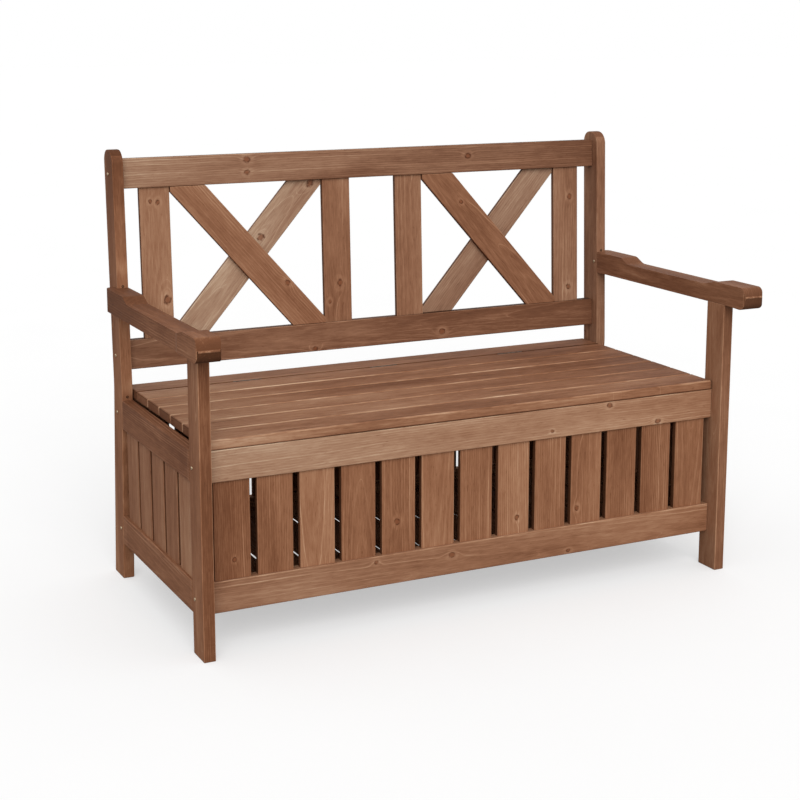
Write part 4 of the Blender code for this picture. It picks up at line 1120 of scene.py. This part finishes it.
def screw_head(radius, height):
    """A countersunk screw head with a cross recess."""
    profile = [(0, -0.0008), (radius, -0.0008), (radius, height * 0.6), (radius * 0.93, height), (0, height)]
    arm, half = radius * 0.62, radius * 0.13
    cuts = [("DIFFERENCE", block((-arm, -half, -0.0003), (arm, half, 0.002))),
            ("DIFFERENCE", block((-half, -arm, -0.0003), (half, arm, 0.002)))]
    return carved(turned(profile, 16), cuts)


def make_fixings(name, head, seats, body, material):
    """One kind of fixing at several seats, given as (point, direction) pairs, joined as one piece."""
    mesh = as_mesh(head, name)
    bm = bmesh.new()
    for number, (point, direction) in enumerate(seats):
        start = len(bm.verts)
        bm.from_mesh(mesh)
        bm.verts.ensure_lookup_table()
        turn = Vector(direction).to_track_quat("Z", "Y").to_matrix().to_4x4()
        spin = Matrix.Rotation(number * 1.1, 4, "Z")
        bmesh.ops.transform(bm, matrix=Matrix.Translation(point) @ turn @ spin, verts=bm.verts[start:])
    bpy.data.meshes.remove(mesh)
    piece = show(name, bm, Matrix.Identity(4), body)
    piece.data.materials.append(material)
    keep_sharp(piece, 30)


SMALL_SCREW = 0.0026
POST_SCREWS = (0.3757, 0.5914)


class BENCH_OT_fixings(bpy.types.Operator):
    """Fit the bolt heads and the countersunk screws"""

    bl_idname = "bench.fixings"
    bl_label = "Bolts and Screws"

    def execute(self, context):
        sizes, colours = context.scene.bench_sizes, context.scene.bench_finish
        outer = END_X + BOARD / 2
        arm_z = ARM_HEIGHT + SHOULDER / 2
        for label, side in SIDES.items():
            seats = [((side * outer, y, low + RAIL / 2), side * X)
                     for y in (FRONT_Y, REAR_Y) for low in (LOW_RAIL, HIGH_RAIL)]
            seats += [(BACK_FRAME @ Vector((side * outer, 0, low + RAIL / 2)), side * X)
                      for low in (BACK_LOW, BACK_HIGH)]
            seats.append(((side * INNER_X, post_front(arm_z) + ARM_TONGUE / 2, arm_z), -side * X))
            make_fixings("bolt_heads_" + label, bolt_head(sizes.bolt_head, 0.0018), seats, "frame",
                         plated("Yellow zinc", colours.bolt, 0.25, 0.7))
            # Near black screw heads on the fronts of the posts, just above the armrest and the side top rail.
            seats = [((side * END_X, post_front(z), z), -Y) for z in POST_SCREWS]
            make_fixings("post_screws_" + label, screw_head(SMALL_SCREW, 0.0002), seats, "frame",
                         plated("Near black screws", colours.post_screw, 0.9, 0.4))
        zinc = plated("Dull zinc", colours.zinc)
        seats = [((x + dx, SEAT_FRONT + SEAT_SLAT / 2 + step * SEAT_PITCH + dy, BATTEN_UNDERSIDE), -Z)
                 for x in BATTENS for step in range(LID_SLATS)
                 for dx, dy in ((-0.011, -0.014), (0.011, 0.014))]
        seats = [seat for seat in seats if BATTEN_FRONT + 0.006 < seat[0][1] < BATTEN_REAR - 0.006]
        make_fixings("batten_screws", screw_head(sizes.screw_head, 0.0003), seats, "lid", zinc)
        front, rear = FRONT_Y + BOARD / 2 + CLEAT / 2, REAR_Y - BOARD / 2 - CLEAT / 2
        seats = [((x + dx, y, FLOOR_TOP), Z)
                 for x in floor_stations() for dx in (-0.018, 0.018) for y in (front, rear)]
        make_fixings("floor_screws", screw_head(SMALL_SCREW, 0.0002), seats, "frame", zinc)
        return {"FINISHED"}


class BENCH_OT_hinges(bpy.types.Operator):
    """Finish the hinges and fit their screws"""

    bl_idname = "bench.hinges"
    bl_label = "Hinges"

    def execute(self, context):
        colours = context.scene.bench_finish
        # The hinges are drawn dark: dull weathered zinc, and painted shade for the gap between the seat slats
        # where they sit.
        for number in (1, 2, 3):
            for form in ("fixed_leaf", "moving_leaf", "pin"):
                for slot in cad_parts["hinge_%d_%s" % (number, form)].material_slots:
                    slot.material = plated("Weathered and shaded zinc", colours.hinge, 0.9, 0.35)
        for form, towards, body in (("fixed", 1, "frame"), ("moving", -1, "lid")):
            seats = [((x + dx, HINGE_Y + towards * LEAF_FACE, HINGE_Z - 0.0083), -towards * Y)
                     for x in HINGES for dx in (-0.021, 0.0, 0.021)]
            make_fixings("hinge_screws_" + form, screw_head(0.0024, 0.0002), seats, body,
                         plated("Dull zinc", colours.zinc))
        return {"FINISHED"}


# Stage ---------------------------------------------------------------------------------------------

# Angles in degrees, the lens in millimetres and the shift as a share of the picture's width
CAMERA_PLACE = (-1.4153, -2.7603, 1.1084)
CAMERA_YAW = 26.150
CAMERA_PITCH = -10.768
CAMERA_LENS = 73.035
CAMERA_SHIFT = -0.10
# Strengths of the light from all round and of the lamp, and where the lamp shines from
AMBIENT = 0.68
SUN = 1.95
LAMP_FROM = (-0.28, -0.80, 0.52)
# How bright the floor is to the camera and to the bench, and how much of it glows to stay white
FLOOR_SEEN = 1.0
FLOOR_BOUNCE = 0.40
FLOOR_GLOW = 0.46


def make_floor(colour):
    """A wide pale floor that shows as white and keeps a soft shadow of the bench."""
    bm = bmesh.new()
    bmesh.ops.create_grid(bm, x_segments=1, y_segments=1, size=30.0)
    floor = linked("floor", as_mesh(bm, "floor"))
    material = bpy.data.materials.new("Pale floor")
    material.use_nodes = True
    w = Wiring(material.node_tree)
    w.tree.nodes.remove(w.tree.nodes["Principled BSDF"])
    mottle = w.noise(w.position(), (3.0, 3.0, 3.0)) * 0.03 + 0.985
    seen = w.output("Is Camera Ray", "ShaderNodeLightPath")
    level = mottle * (seen * (FLOOR_SEEN - FLOOR_BOUNCE) + FLOOR_BOUNCE)
    shade = w.output("Vector", "ShaderNodeVectorMath", {0: colour, "Scale": level}, operation="SCALE")
    matt = w.output(0, "ShaderNodeBsdfDiffuse", {"Color": shade})
    glow = w.output(0, "ShaderNodeEmission", {"Color": grey(1.0), "Strength": 1.0})
    blend = w.output(0, "ShaderNodeMixShader", {0: seen * FLOOR_GLOW, 1: matt, 2: glow})
    w.feed(w.tree.nodes["Material Output"].inputs["Surface"], blend)
    floor.data.materials.append(material)


def make_world():
    """Even soft light from all round, with a white background."""
    world = bpy.data.worlds.new("Studio")
    bpy.context.scene.world = world
    world.use_nodes = True
    w = Wiring(world.node_tree)
    path = w.outputs(w.node("ShaderNodeLightPath"))
    shown = w.math("MAXIMUM", w.math("MAXIMUM", path["Is Camera Ray"], path["Is Glossy Ray"]),
                   path["Is Transmission Ray"])
    background = w.tree.nodes["Background"]
    w.feed(background.inputs["Strength"], shown * (1.0 - AMBIENT) + AMBIENT)
    background.inputs["Color"].default_value = grey(1.0)


def make_lamp():
    """A very soft lamp from the front, above and a little to the left."""
    lamp = bpy.data.lights.new("Soft box", "SUN")
    lamp.energy = SUN
    lamp.angle = math.radians(50)
    linked("Soft box", lamp).rotation_euler = Vector(LAMP_FROM).to_track_quat("Z", "Y").to_euler()


def make_camera():
    """The camera of the photograph."""
    data = bpy.data.cameras.new("Camera")
    data.sensor_width = 36.0
    data.lens = CAMERA_LENS
    data.shift_y = CAMERA_SHIFT
    camera = linked("Camera", data)
    camera.location = CAMERA_PLACE
    camera.rotation_euler = (math.radians(90 + CAMERA_PITCH), 0, math.radians(-CAMERA_YAW))
    bpy.context.scene.camera = camera


class BENCH_OT_stage(bpy.types.Operator):
    """Lay the floor, set the light and place the camera"""

    bl_idname = "bench.stage"
    bl_label = "Stage"

    def execute(self, context):
        make_floor(context.scene.bench_finish.floor)
        make_world()
        make_lamp()
        make_camera()
        context.scene.view_settings.view_transform = "Standard"
        return {"FINISHED"}


class BENCH_PT_panel(bpy.types.Panel):
    """Sizes, finishes and steps of the garden storage bench"""

    bl_label = "Garden Storage Bench"
    bl_idname = "BENCH_PT_panel"
    bl_space_type = "VIEW_3D"
    bl_region_type = "UI"
    bl_category = "Bench"

    def draw(self, context):
        layout = self.layout
        for group in (context.scene.bench_sizes, context.scene.bench_finish):
            box = layout.box()
            for name in group.__annotations__:
                box.prop(group, name)
        column = layout.column(align=True)
        for operator in OPERATORS:
            column.operator(operator.bl_idname)


OPERATORS = (BENCH_OT_stage, BENCH_OT_frame_ends, BENCH_OT_box, BENCH_OT_storage_floor, BENCH_OT_back_rest,
             BENCH_OT_seat, BENCH_OT_fixings, BENCH_OT_hinges)
CLASSES = (BenchSizes, BenchFinish, *OPERATORS, BENCH_PT_panel)


def register():
    """Adds the classes, and the bench's settings to the scene."""
    for cls in CLASSES:
        bpy.utils.register_class(cls)
    bpy.types.Scene.bench_sizes = bpy.props.PointerProperty(type=BenchSizes)
    bpy.types.Scene.bench_finish = bpy.props.PointerProperty(type=BenchFinish)


def unregister():
    """Takes the settings and the classes away."""
    del bpy.types.Scene.bench_finish
    del bpy.types.Scene.bench_sizes
    for cls in reversed(CLASSES):
        bpy.utils.unregister_class(cls)


def main():
    """Builds everything."""
    register()
    for operator in OPERATORS:
        getattr(bpy.ops.bench, operator.bl_idname.split(".")[1])()
    bpy.context.view_layer.update()


if __name__ == "__main__":
    main()
